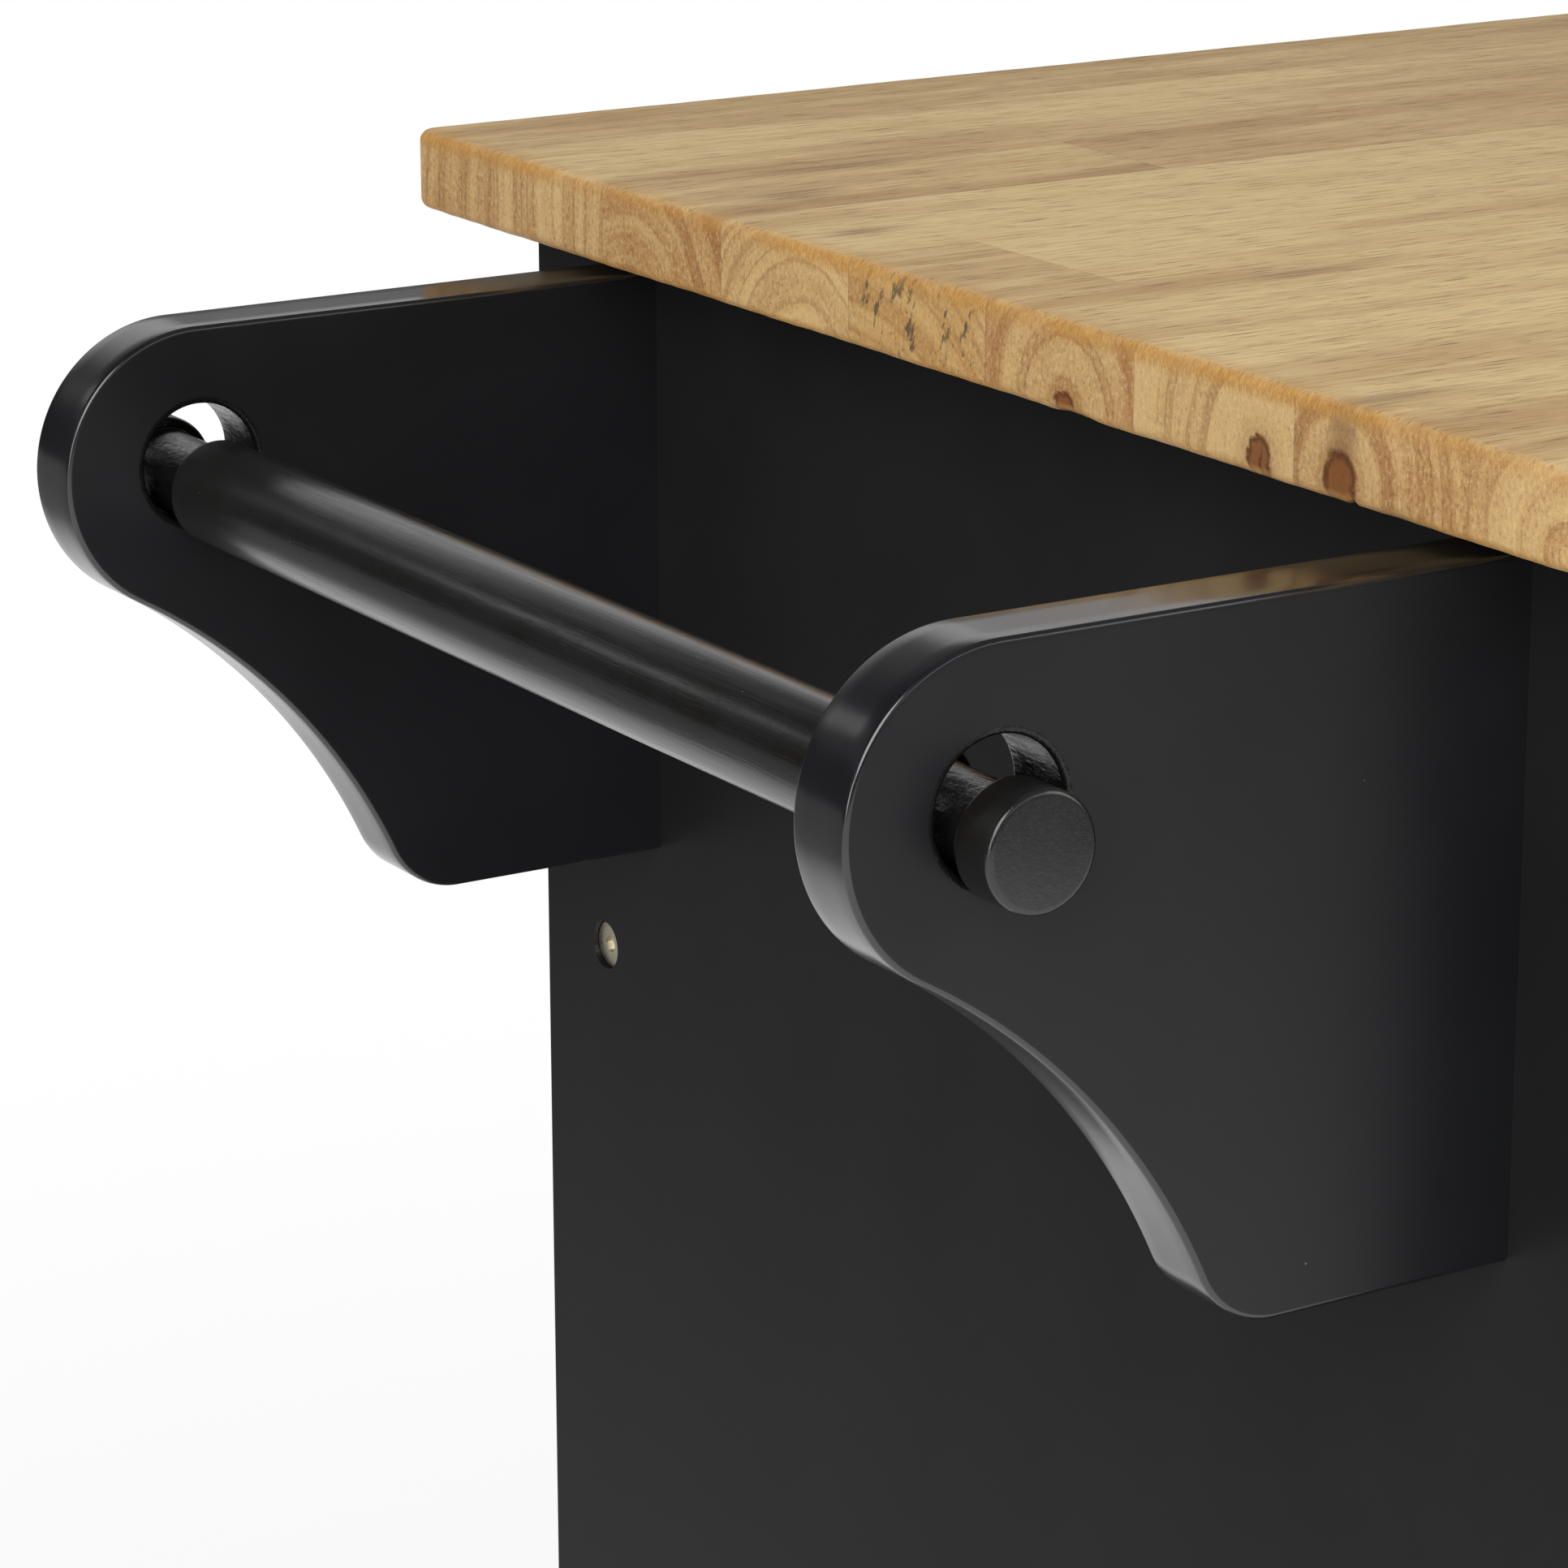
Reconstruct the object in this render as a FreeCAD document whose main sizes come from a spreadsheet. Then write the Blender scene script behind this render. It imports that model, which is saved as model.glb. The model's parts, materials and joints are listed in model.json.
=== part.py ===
import FreeCAD, Part
import math
import os
from types import SimpleNamespace

import Sketcher
from FreeCAD import Vector

# A black kitchen island with an edge-glued wooden worktop, a towel bar on its left end,
# two drawers over two doors, and four swivel casters.
#
# Frame: +Z up from the floor, X along the length with the towel bar at -X, and Y through the
# depth with the doors and drawers at -Y. The origin is on the floor, below the middle of the
# island's overall box.

# Driving dimensions in millimetres, copied to the sheet under the same names
WORKTOP = {
    "top_length": 1000,
    "top_depth": 466,
    "top_thickness": 20,
    "top_height": 900,
    "top_corner_radius": 5,
    "top_arris": 1.8,
    "end_overhang": 28,
    "side_overhang": 13,
}
CARCASE = {
    "board": 18,
    "back_board": 12,
    "panel_ease": 1,
    "housing_depth": 6,
    "rail_depth": 70,
    "divider_drop": 189.5,
    "reveal": 2,
}
TOWEL_BAR = {
    "bracket_board": 18,
    "bracket_setback": 42,
    "bracket_top_gap": 8,
    "bracket_height": 148,
    "nose_radius": 34.5,
    "tail_radius": 160,
    "heel_radius": 20,
    "heel_flat": 58,
    "bracket_ease": 0.8,
    "hole_diameter": 29,
    "hole_distance": 124.5,
    "hole_drop": 33,
    "rod_diameter": 24.5,
    "neck_diameter": 19,
    "neck_inner_play": 8,
    "neck_outer_play": 2,
    "knob_end_length": 12,
    "rod_ease": 1.2,
    "running_gap": 0.3,
}
BOLTS = {
    "bolt_setback": 31,
    "recess_diameter": 12.6,
    "recess_depth": 4,
    "bolt_head_diameter": 12,
    "bolt_head_thickness": 2.5,
    "bolt_diameter": 6,
    "bolt_bore_diameter": 6.6,
    "bolt_length": 50,
    "socket_width": 4,
    "socket_depth": 1.6,
}
DRAWERS = {
    "box_side": 12,
    "box_bottom": 5,
    "box_height": 110,
    "box_back_gap": 30,
    "box_drop": 12,
    "groove_depth": 6,
    "groove_lift": 8,
    "runner_space": 12.5,
    "runner_height": 22,
    "runner_plate": 1.2,
    "runner_flange": 8.6,
    "runner_setback": 22,
    "runner_back_gap": 26,
}
DOORS = {
    "stile_width": 60,
    "door_panel": 6,
    "door_groove_depth": 8,
    "panel_play": 0.5,
    "hinge_height": 60,
    "hinge_setback": 80,
    "barrel_diameter": 8,
    "barrel_gap": 0.4,
    "leaf_plate": 0.8,
    "leaf_depth": 16,
    "hinge_pin_diameter": 3,
    "pin_play": 0.05,
    "catch_width": 30,
    "catch_depth": 15,
    "catch_height": 14,
    "catch_inset": 12,
}
PULLS = {
    "pull_foot_radius": 7,
    "pull_neck_radius": 5,
    "pull_neck_length": 12.5,
    "pull_head_radius": 15,
    "pull_head_back": 6,
    "pull_head_front": 7,
    "pull_face_radius": 9,
    "door_pull_drop": 100,
}
SHELF = {
    "shelf_height": 380,
    "shelf_play": 1,
    "shelf_setback": 30,
    "cleat_width": 15,
    "cleat_height": 20,
    "cleat_setback": 25,
}
CASTERS = {
    "caster_height": 76,
    "caster_inset": 60,
    "caster_trail": 18,
    "plate_side": 60,
    "plate_thickness": 3,
    "race_radius": 20,
    "race_height": 6,
    "kingpin_radius": 5,
    "kingpin_flare": 3,
    "kingpin_play": 0.4,
    "fork_plate": 2.7,
    "fork_front": 18,
    "fork_back": 36,
    "fork_skirt": 8,
    "axle_boss_radius": 9,
    "axle_radius": 3,
    "wheel_radius": 30,
    "wheel_width": 22,
    "wheel_side_gap": 1.5,
    "tread_width": 14,
    "rim_radius": 26,
    "rim_width": 18,
    "hub_radius": 9,
    "pedal_plate": 3,
    "pedal_width": 19,
    "pedal_reach": 34,
    "pedal_fall": 5,
    "pedal_pin_radius": 2,
    "pedal_pin_setback": 30,
    "pedal_pin_drop": 3.2,
    "shoe_length": 7,
}
ALL_SIZES = (WORKTOP, CARCASE, TOWEL_BAR, BOLTS, DRAWERS, DOORS, PULLS, SHELF, CASTERS)

LEFT, RIGHT = -1, 1
FRONT, BACK = -1, 1
NAMES = {LEFT: "left", RIGHT: "right"}
FULL_TURN = 360


class Size:
    """A length, with the sheet expression that derives it."""

    def __init__(self, value, text):
        self.value = float(value)
        self.text = text

    def joined(self, sign, other, value):
        return Size(value, f"({self.text} {sign} {text_of(other)})")

    def __add__(self, other):
        return self.joined("+", other, self.value + value_of(other))

    def __radd__(self, other):
        return self + other

    def __sub__(self, other):
        return self.joined("-", other, self.value - value_of(other))

    def __rsub__(self, other):
        return -self + other

    def __mul__(self, factor):
        return self.joined("*", factor, self.value * value_of(factor))

    def __rmul__(self, factor):
        return self * factor

    def __truediv__(self, factor):
        return self.joined("/", factor, self.value / value_of(factor))

    def __neg__(self):
        return Size(-self.value, f"(-{self.text})")


def value_of(item):
    return item.value if isinstance(item, Size) else item


def text_of(item):
    return item.text if isinstance(item, Size) else f"({item})"


def larger(first, second):
    """The larger of two lengths, as a length of its own."""
    value = max(first.value, second.value)
    return Size(value, f"max({first.text}; {second.text})")


def fill_sheet(doc):
    """Write the driving dimensions to the sheet, one row each, and return them by name."""
    sheet = doc.addObject("Spreadsheet::Sheet", "sizes")
    sizes = {}
    for group in ALL_SIZES:
        for name, value in group.items():
            row = len(sizes) + 1
            sheet.set(f"A{row}", name)
            sheet.set(f"B{row}", str(value))
            sheet.setAlias(f"B{row}", name)
            sizes[name] = Size(value, f"sizes.{name}")
    return SimpleNamespace(**sizes)


doc = FreeCAD.newDocument("kitchen_island")
s = fill_sheet(doc)

# Places that several pieces share, in a frame under the middle of the cabinet
body_half = s.top_length / 2 - s.end_overhang
room_half = body_half - s.board
back_face = s.top_depth / 2 - s.side_overhang
front_face = -back_face
room_back = back_face - s.back_board
panel_low = s.caster_height
panel_high = s.top_height - s.top_thickness
room_floor = panel_low + s.board
divider_middle = panel_high - s.divider_drop
divider_low = divider_middle - s.board / 2
divider_high = divider_middle + s.board / 2
rail_low = panel_high - s.board
front_back = front_face + s.board
door_low = room_floor + s.reveal
door_high = divider_low - s.reveal
drawer_low = divider_high + s.reveal
drawer_high = rail_low - s.reveal
bracket_top = panel_high - s.bracket_top_gap
bracket_outside = back_face - s.bracket_setback
bracket_inside = bracket_outside - s.bracket_board
hole_height = bracket_top - s.hole_drop
neck_sink = s.hole_diameter / 2 - s.neck_diameter / 2 - s.running_gap
pull_head = s.pull_head_back + s.pull_head_front
box_back = room_back - s.box_back_gap
runner_length = box_back - s.runner_back_gap - front_face - s.runner_setback

# The overall box, whose middle the origin stands under
reach_left = body_half + s.hole_distance + s.nose_radius
reach_right = s.top_length / 2
reach_front = larger(back_face + s.pull_neck_length + pull_head, s.top_depth / 2)
reach_back = s.top_depth / 2
shift_x = (reach_left - reach_right) / 2
shift_y = (reach_front - reach_back) / 2

cuts = []
sub_parts = []
groups = []


def bind(item, prop, size):
    """Tie a property to the sheet, or set it where the size is a plain zero."""
    if isinstance(size, Size):
        item.setExpression(prop, size.text)


def new_body(label):
    body = doc.addObject("PartDesign::Body", label)
    body.Label = label
    return body


def put(item, x, y, z):
    """Stand a piece at a place given from the middle of the cabinet's footprint."""
    bind(item, "Placement.Base.x", shift_x + x)
    bind(item, "Placement.Base.y", shift_y + y)
    bind(item, "Placement.Base.z", z)


def new_sketch(body, name, role, offset=0):
    """An empty sketch on one of the body's own planes, moved along the plane's normal."""
    plane = next(item for item in body.Origin.OriginFeatures if item.Role == role)
    sketch = body.newObject("Sketcher::SketchObject", f"{body.Name}_{name}")
    sketch.AttachmentSupport = (plane, [""])
    sketch.MapMode = "FlatFace"
    bind(sketch, "AttachmentOffset.Base.z", offset)
    return sketch


def fix_point(sketch, curve, point, place):
    """Hold one end or centre of a curve at a place given in sizes."""
    for kind, coordinate in zip(("DistanceX", "DistanceY"), place):
        rule = Sketcher.Constraint(kind, -1, 1, curve, point, value_of(coordinate))
        index = sketch.addConstraint(rule)
        bind(sketch, f"Constraints[{index}]", coordinate)


def fix_radius(sketch, curve, radius):
    index = sketch.addConstraint(Sketcher.Constraint("Radius", curve, radius.value))
    bind(sketch, f"Constraints[{index}]", radius)


def flat(place):
    """A place in a sketch as a vector."""
    return Vector(value_of(place[0]), value_of(place[1]), 0)


def add_polygon(sketch, corners):
    """Straight sides through the corners, closed, with each corner held by its sizes."""
    first = sketch.GeometryCount
    count = len(corners)
    for number, corner in enumerate(corners):
        following = corners[(number + 1) % count]
        sketch.addGeometry(Part.LineSegment(flat(corner), flat(following)), False)
    for number, corner in enumerate(corners):
        following = first + (number + 1) % count
        sketch.addConstraint(Sketcher.Constraint("Coincident", first + number, 2, following, 1))
        fix_point(sketch, first + number, 1, corner)


def add_rectangle(sketch, low, high):
    corners = [low, (high[0], low[1]), high, (low[0], high[1])]
    add_polygon(sketch, corners)


def add_circle(sketch, centre, radius):
    circle = Part.Circle(flat(centre), Vector(0, 0, 1), radius.value)
    curve = sketch.addGeometry(circle, False)
    fix_point(sketch, curve, 3, centre)
    fix_radius(sketch, curve, radius)


def pad(body, sketch, length, both_ways=False, backwards=False):
    feature = body.newObject("PartDesign::Pad", f"{sketch.Name}_pad")
    feature.Profile = sketch
    feature.Midplane = both_ways
    feature.Reversed = backwards
    bind(feature, "Length", length)
    body.Tip = feature
    return feature


def cut(body, sketch, depth=None):
    """Cut to one depth on each side of the sketch's plane, or right through without one."""
    base = body.Tip
    feature = body.newObject("PartDesign::Pocket", f"{sketch.Name}_cut")
    feature.Profile = sketch
    feature.Midplane = True
    if depth is None:
        feature.Type = "ThroughAll"
    else:
        bind(feature, "Length", depth * 2)
    body.Tip = feature
    cuts.append((base, feature))
    return feature


def revolve(body, sketch, axis):
    feature = body.newObject("PartDesign::Revolution", f"{sketch.Name}_turned")
    feature.Profile = sketch
    feature.ReferenceAxis = (sketch, [axis])
    feature.Angle = FULL_TURN
    body.Tip = feature
    return feature


def turn_out(body, sketch, axis):
    """Cut the shape that a sketch sweeps round one of its own axes."""
    base = body.Tip
    feature = body.newObject("PartDesign::Groove", f"{sketch.Name}_groove")
    feature.Profile = sketch
    feature.ReferenceAxis = (sketch, [axis])
    feature.Angle = FULL_TURN
    body.Tip = feature
    cuts.append((base, feature))
    return feature


def dress_edges(body, kind, name, chosen):
    """A fillet or chamfer on the edges of the body's last feature that the test picks."""
    base = body.Tip
    doc.recompute()
    edges = [f"Edge{n}" for n, edge in enumerate(base.Shape.Edges, 1) if chosen(edge)]
    feature = body.newObject(f"PartDesign::{kind}", f"{body.Name}_{name}")
    feature.Base = (base, edges)
    body.Tip = feature
    return feature


def round_edges(body, name, radius, chosen):
    bind(dress_edges(body, "Fillet", name, chosen), "Radius", radius)


def bevel_edges(body, name, size, chosen):
    bind(dress_edges(body, "Chamfer", name, chosen), "Size", size)


def keep(item):
    """Hand a piece in as a node of its own."""
    sub_parts.append(item)
    return item


def keep_group(label, members):
    """Hand in identical pieces as one node of separate solids."""
    group = doc.addObject("Part::Compound", label)
    group.Label = label
    group.Links = members
    groups.append((group, len(members)))
    return keep(group)


def board(label, low, high):
    """A flat board between its lowest and highest corners, with its own origin at the lowest."""
    body = new_body(label)
    outline = new_sketch(body, "outline", "XY_Plane")
    add_rectangle(outline, (0, 0), (high[0] - low[0], high[1] - low[1]))
    pad(body, outline, high[2] - low[2])
    put(body, *low)
    return keep(body)


def runs_along(edge, direction):
    """Whether a straight edge runs along a direction."""
    if not isinstance(edge.Curve, Part.Line):
        return False
    return abs(abs(edge.Curve.Direction.dot(direction)) - 1) < 1e-6


def make_worktop():
    """The edge-glued top: round upright corners, then a small bevelled arris all round."""
    half_depth = s.top_depth / 2
    low = (-s.top_length / 2, -half_depth, panel_high)
    high = (s.top_length / 2, half_depth, s.top_height)
    body = board("worktop", low, high)
    upright = Vector(0, 0, 1)
    round_edges(body, "corners", s.top_corner_radius, lambda edge: runs_along(edge, upright))
    bevel_edges(body, "arris", s.top_arris, lambda edge: not runs_along(edge, upright))


def bolt_pattern():
    """Depth and height of each bolt in an end panel: one near the back of each cross board."""
    depth = back_face - s.bolt_setback
    return [(depth, panel_low + s.board / 2), (depth, divider_middle)]


def cross_board_spans():
    """Near and far side and underside of each board that runs between the end panels."""
    return {
        "bottom_panel": (front_face, room_back, panel_low),
        "divider_panel": (front_face, room_back, divider_low),
        "front_top_rail": (front_face, front_face + s.rail_depth, rail_low),
        "back_top_rail": (room_back - s.rail_depth, room_back, rail_low),
    }


def make_end_panel(side):
    """An end panel with counterbored bolt holes, and a housing inside for each cross board."""
    body = new_body(f"{NAMES[side]}_end_panel")
    outline = new_sketch(body, "outline", "YZ_Plane")
    add_rectangle(outline, (front_face, panel_low), (back_face, panel_high))
    pad(body, outline, s.board, backwards=(side == RIGHT))
    bevel_edges(body, "ease", s.panel_ease, lambda edge: not runs_along(edge, Vector(1, 0, 0)))

    recesses = new_sketch(body, "recesses", "YZ_Plane")
    bores = new_sketch(body, "bores", "YZ_Plane")
    for place in bolt_pattern():
        add_circle(recesses, place, s.recess_diameter / 2)
        add_circle(bores, place, s.bolt_bore_diameter / 2)
    cut(body, recesses, s.recess_depth)
    cut(body, bores)

    housings = new_sketch(body, "housings", "YZ_Plane", s.board * -side)
    for near, far, base in cross_board_spans().values():
        add_rectangle(housings, (near, base), (far, base + s.board))
    cut(body, housings, s.housing_depth)
    put(body, body_half * side, 0, 0)
    return keep(body)


def bore_ends(body, length):
    """A bore in each end of a cross board for the bolt near its back edge."""
    into_board = s.recess_depth + s.bolt_length + s.running_gap - s.board + s.housing_depth
    place = (back_face - s.bolt_setback - front_face, s.board / 2)
    for name, offset in (("left_bore", 0), ("right_bore", length)):
        sketch = new_sketch(body, name, "YZ_Plane", offset)
        add_circle(sketch, place, s.bolt_bore_diameter / 2)
        cut(body, sketch, into_board)


def make_cross_boards():
    """Bottom, divider and top rails let into the end panels, and the back that closes them."""
    board_half = room_half + s.housing_depth
    for label, (near, far, base) in cross_board_spans().items():
        body = board(label, (-board_half, near, base), (board_half, far, base + s.board))
        if label in ("bottom_panel", "divider_panel"):
            bore_ends(body, board_half * 2)
    low = (-s.board / 2, front_face, divider_high)
    board("drawer_partition", low, (s.board / 2, room_back, rail_low))
    board("back_panel", (-room_half, room_back, panel_low), (room_half, back_face, panel_high))


def make_bolt(label, side, depth, height):
    """A flat socket-head bolt that lies along X, with its head on the recess's floor."""
    body = new_body(label)
    head, shank = s.bolt_head_diameter / 2, s.bolt_diameter / 2
    inward = -side
    under_head = s.bolt_head_thickness * inward
    tip = s.bolt_length * inward
    profile = new_sketch(body, "profile", "XY_Plane")
    corners = [(0, 0), (0, head), (under_head, head), (under_head, shank), (tip, shank), (tip, 0)]
    add_polygon(profile, corners)
    revolve(body, profile, "H_Axis")
    socket = new_sketch(body, "socket", "YZ_Plane")
    across = s.socket_width / math.sqrt(3)
    corners = []
    for turn in range(6):
        angle = math.radians(60 * turn)
        corners.append((across * math.cos(angle), across * math.sin(angle)))
    add_polygon(socket, corners)
    cut(body, socket, s.socket_depth)
    seat = s.recess_depth - s.bolt_head_thickness
    put(body, (body_half - seat) * side, depth, height)
    return body


def make_bolts():
    bolts = []
    for side in (LEFT, RIGHT):
        for depth, height in bolt_pattern():
            label = f"assembly_bolt_{len(bolts) + 1}"
            bolts.append(make_bolt(label, side, depth, height))
    keep_group("assembly_bolts", bolts)


def arc_between(centre, radius, start, end):
    """An arc that runs anticlockwise about its centre from one place to another."""
    angles = [math.atan2(place.y - centre.y, place.x - centre.x) for place in (start, end)]
    if angles[1] < angles[0]:
        angles[1] += 2 * math.pi
    return Part.ArcOfCircle(Part.Circle(centre, Vector(0, 0, 1), radius), *angles)


def tail_centre(nose, heel):
    """Centre of the hollow arc that touches the nose and heel circles from below outside."""
    from_nose = s.nose_radius.value + s.tail_radius.value
    from_heel = s.heel_radius.value + s.tail_radius.value
    across = heel - nose
    along = (from_nose**2 - from_heel**2 + across.Length**2) / (2 * across.Length)
    aside = math.sqrt(from_nose**2 - along**2)
    unit = across / across.Length
    return nose + unit * along + Vector(unit.y, -unit.x, 0) * aside


def make_bracket(label, place):
    """An ogee bracket: round nose about the rod hole, hollow tail and round heel, all tangent.

    Its own origin is at the panel, level with the bracket's top, in the middle of its board.
    """
    body = new_body(label)
    outline = new_sketch(body, "outline", "XZ_Plane")
    nose_place = (-s.hole_distance, -s.nose_radius)
    heel_place = (-s.heel_flat, s.heel_radius - s.bracket_height)
    nose, heel = flat(nose_place), flat(heel_place)
    tail = tail_centre(nose, heel)
    nose_end = nose + (tail - nose).normalize() * s.nose_radius.value
    heel_start = heel + (tail - heel).normalize() * s.heel_radius.value
    corner, foot = Vector(0, 0, 0), Vector(0, -s.bracket_height.value, 0)
    tip, sole = Vector(nose.x, 0, 0), Vector(heel.x, foot.y, 0)

    top = outline.addGeometry(Part.LineSegment(corner, tip), False)
    round_nose = outline.addGeometry(arc_between(nose, s.nose_radius.value, tip, nose_end), False)
    hollow = outline.addGeometry(arc_between(tail, s.tail_radius.value, heel_start, nose_end), False)
    round_heel = outline.addGeometry(arc_between(heel, s.heel_radius.value, heel_start, sole), False)
    bottom = outline.addGeometry(Part.LineSegment(sole, foot), False)
    back = outline.addGeometry(Part.LineSegment(foot, corner), False)
    joins = [
        ("Tangent", top, 2, round_nose, 1),
        ("Tangent", round_nose, 2, hollow, 2),
        ("Tangent", hollow, 1, round_heel, 1),
        ("Tangent", round_heel, 2, bottom, 1),
        ("Coincident", bottom, 2, back, 1),
        ("Coincident", back, 2, top, 1),
    ]
    for join in joins:
        outline.addConstraint(Sketcher.Constraint(*join))
    outline.addConstraint(Sketcher.Constraint("Coincident", top, 1, -1, 1))
    outline.addConstraint(Sketcher.Constraint("Vertical", back))
    fix_point(outline, round_nose, 3, nose_place)
    fix_point(outline, round_heel, 3, heel_place)
    for curve, radius in ((round_nose, s.nose_radius), (hollow, s.tail_radius)):
        fix_radius(outline, curve, radius)
    fix_radius(outline, round_heel, s.heel_radius)
    pad(body, outline, s.bracket_board, both_ways=True)
    at_wall = s.bracket_ease.value
    across = Vector(0, 1, 0)

    def outer_edge(edge):
        on_wall = edge.BoundBox.XMin > -at_wall
        return not runs_along(edge, across) and not on_wall

    bevel_edges(body, "ease", s.bracket_ease, outer_edge)
    hole = new_sketch(body, "hole", "XZ_Plane")
    add_circle(hole, (-s.hole_distance, -s.hole_drop), s.hole_diameter / 2)
    cut(body, hole)
    put(body, -body_half, place, bracket_top)
    return keep(body)


def make_towel_rod():
    """One turned rod: a full middle, a neck in each bracket and a full knob outside it.

    It lies in oversize holes with its necks just above the bottoms of the holes.
    """
    body = new_body("towel_rod")
    neck, full = s.neck_diameter / 2, s.rod_diameter / 2
    shoulder = bracket_inside - s.neck_inner_play
    knob = bracket_outside + s.neck_outer_play
    end = knob + s.knob_end_length
    ease = s.rod_ease
    half = [(full - ease, end), (full, end - ease), (full, knob), (neck, knob)]
    half += [(neck, shoulder), (full, shoulder)]
    other_half = [(radius, -place) for radius, place in reversed(half)]
    profile = new_sketch(body, "profile", "XY_Plane")
    add_polygon(profile, [(0, -end), (0, end)] + half + other_half)
    revolve(body, profile, "V_Axis")
    put(body, -body_half - s.hole_distance, 0, hole_height - neck_sink)
    return keep(body)


def make_runner(label, wall, side):
    """A fixed channel on a wall, open towards the drawer on the given side of it."""
    body = new_body(label)
    profile = new_sketch(body, "profile", "XZ_Plane")
    plate, flange = s.runner_plate * side, s.runner_flange * side
    high = s.runner_height
    corners = [(0, 0), (flange, 0), (flange, s.runner_plate), (plate, s.runner_plate)]
    corners += [(plate, high - s.runner_plate), (flange, high - s.runner_plate), (flange, high), (0, high)]
    add_polygon(profile, corners)
    pad(body, profile, runner_length, backwards=True)
    put(body, wall, front_face + s.runner_setback, drawer_low + s.box_drop - s.runner_plate)
    return body


def make_slide(label, wall, side):
    """The drawer's own member: a web on the box's side, with a lip that rides in the channel.

    Its own origin is on the wall that carries the channel, level with the channel's underside.
    """
    body = new_body(label)
    profile = new_sketch(body, "profile", "XZ_Plane")
    lip_low = s.runner_plate + s.running_gap
    lip_high = lip_low + s.runner_plate
    web_out = s.runner_space * side
    web_in = (s.runner_space - s.runner_plate) * side
    lip_end = (s.runner_plate + s.running_gap) * side
    web_high = s.runner_height
    corners = [(web_out, lip_low), (web_out, web_high), (web_in, web_high), (web_in, lip_high)]
    corners += [(lip_end, lip_high), (lip_end, lip_low)]
    add_polygon(profile, corners)
    pad(body, profile, runner_length, backwards=True)
    put(body, wall, front_face + s.runner_setback, drawer_low + s.box_drop - s.runner_plate)
    return body


def make_pull(label, x, z):
    """A turned knob on a front, about its own Y axis: tapered neck and a bevelled head."""
    body = new_body(label)
    head_start = -s.pull_neck_length
    rim = head_start - s.pull_head_back
    face = rim - s.pull_head_front
    corners = [(0, 0), (s.pull_foot_radius, 0), (s.pull_neck_radius, head_start)]
    corners += [(s.pull_head_radius, rim), (s.pull_face_radius, face), (0, face)]
    profile = new_sketch(body, "profile", "XY_Plane")
    add_polygon(profile, corners)
    revolve(body, profile, "V_Axis")
    put(body, x, front_face, z)
    return keep(body)


def make_drawer(side):
    """One drawer: a front and four-sided box, grooved for its bottom, on two metal slides."""
    name = f"{NAMES[side]}_drawer"
    inner_wall, outer_wall = s.board / 2, room_half
    low_u, high_u = inner_wall + s.reveal, outer_wall - s.reveal
    box_low_u, box_high_u = inner_wall + s.runner_space, outer_wall - s.runner_space
    base = drawer_low + s.box_drop
    high = base + s.box_height

    def spread(label, u_low, u_high, near, far, z_low, z_high):
        """A board between two distances from the middle, on this drawer's side of it."""
        x_low, x_high = sorted((u_low * side, u_high * side), key=value_of)
        return board(f"{name}_{label}", (x_low, near, z_low), (x_high, far, z_high))

    spread("front", low_u, high_u, front_face, front_back, drawer_low, drawer_high)
    bottom_low = base + s.groove_lift
    bottom_high = bottom_low + s.box_bottom
    sides = {"inner_side": (box_low_u, box_low_u + s.box_side, 1)}
    sides["outer_side"] = (box_high_u - s.box_side, box_high_u, -1)
    for label, (u_low, u_high, inward) in sides.items():
        body = spread(label, u_low, u_high, front_back, box_back, base, high)
        inner_x = s.box_side if inward * side > 0 else 0
        groove = new_sketch(body, "groove", "YZ_Plane", inner_x)
        groove_high = s.groove_lift + s.box_bottom
        add_rectangle(groove, (0, s.groove_lift), (box_back - front_back, groove_high))
        cut(body, groove, s.groove_depth)
    inside_low, inside_high = box_low_u + s.box_side, box_high_u - s.box_side
    back_near = box_back - s.box_side
    spread("back", inside_low, inside_high, back_near, box_back, bottom_high, high)
    in_groove = s.groove_depth - s.running_gap
    bottom_u = (inside_low - in_groove, inside_high + in_groove)
    spread("bottom", *bottom_u, front_back, box_back, bottom_low, bottom_high)
    slides = []
    for wall, towards in ((inner_wall, 1), (outer_wall, -1)):
        label = f"{name}_slide_{len(slides) + 1}"
        slides.append(make_slide(label, wall * side, towards * side))
    keep_group(f"{name}_slides", slides)
    make_pull(f"{name}_pull", (low_u + high_u) / 2 * side, (drawer_low + drawer_high) / 2)


def make_runners():
    runners = []
    for side in (LEFT, RIGHT):
        for wall, towards in ((s.board / 2, 1), (room_half, -1)):
            label = f"drawer_runner_{len(runners) + 1}"
            runners.append(make_runner(label, wall * side, towards * side))
    keep_group("drawer_runners", runners)


def make_stile(label, x_low, groove_right):
    """An upright of a door's frame, grooved down the edge that faces the panel."""
    low = (x_low, front_face, door_low)
    body = board(label, low, (x_low + s.stile_width, front_back, door_high))
    groove = new_sketch(body, "groove", "YZ_Plane", s.stile_width if groove_right else 0)
    groove_low = s.board / 2 - s.door_panel / 2
    groove_high = s.board / 2 + s.door_panel / 2
    add_rectangle(groove, (groove_low, 0), (groove_high, door_high - door_low))
    cut(body, groove, s.door_groove_depth)
    return body


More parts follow.
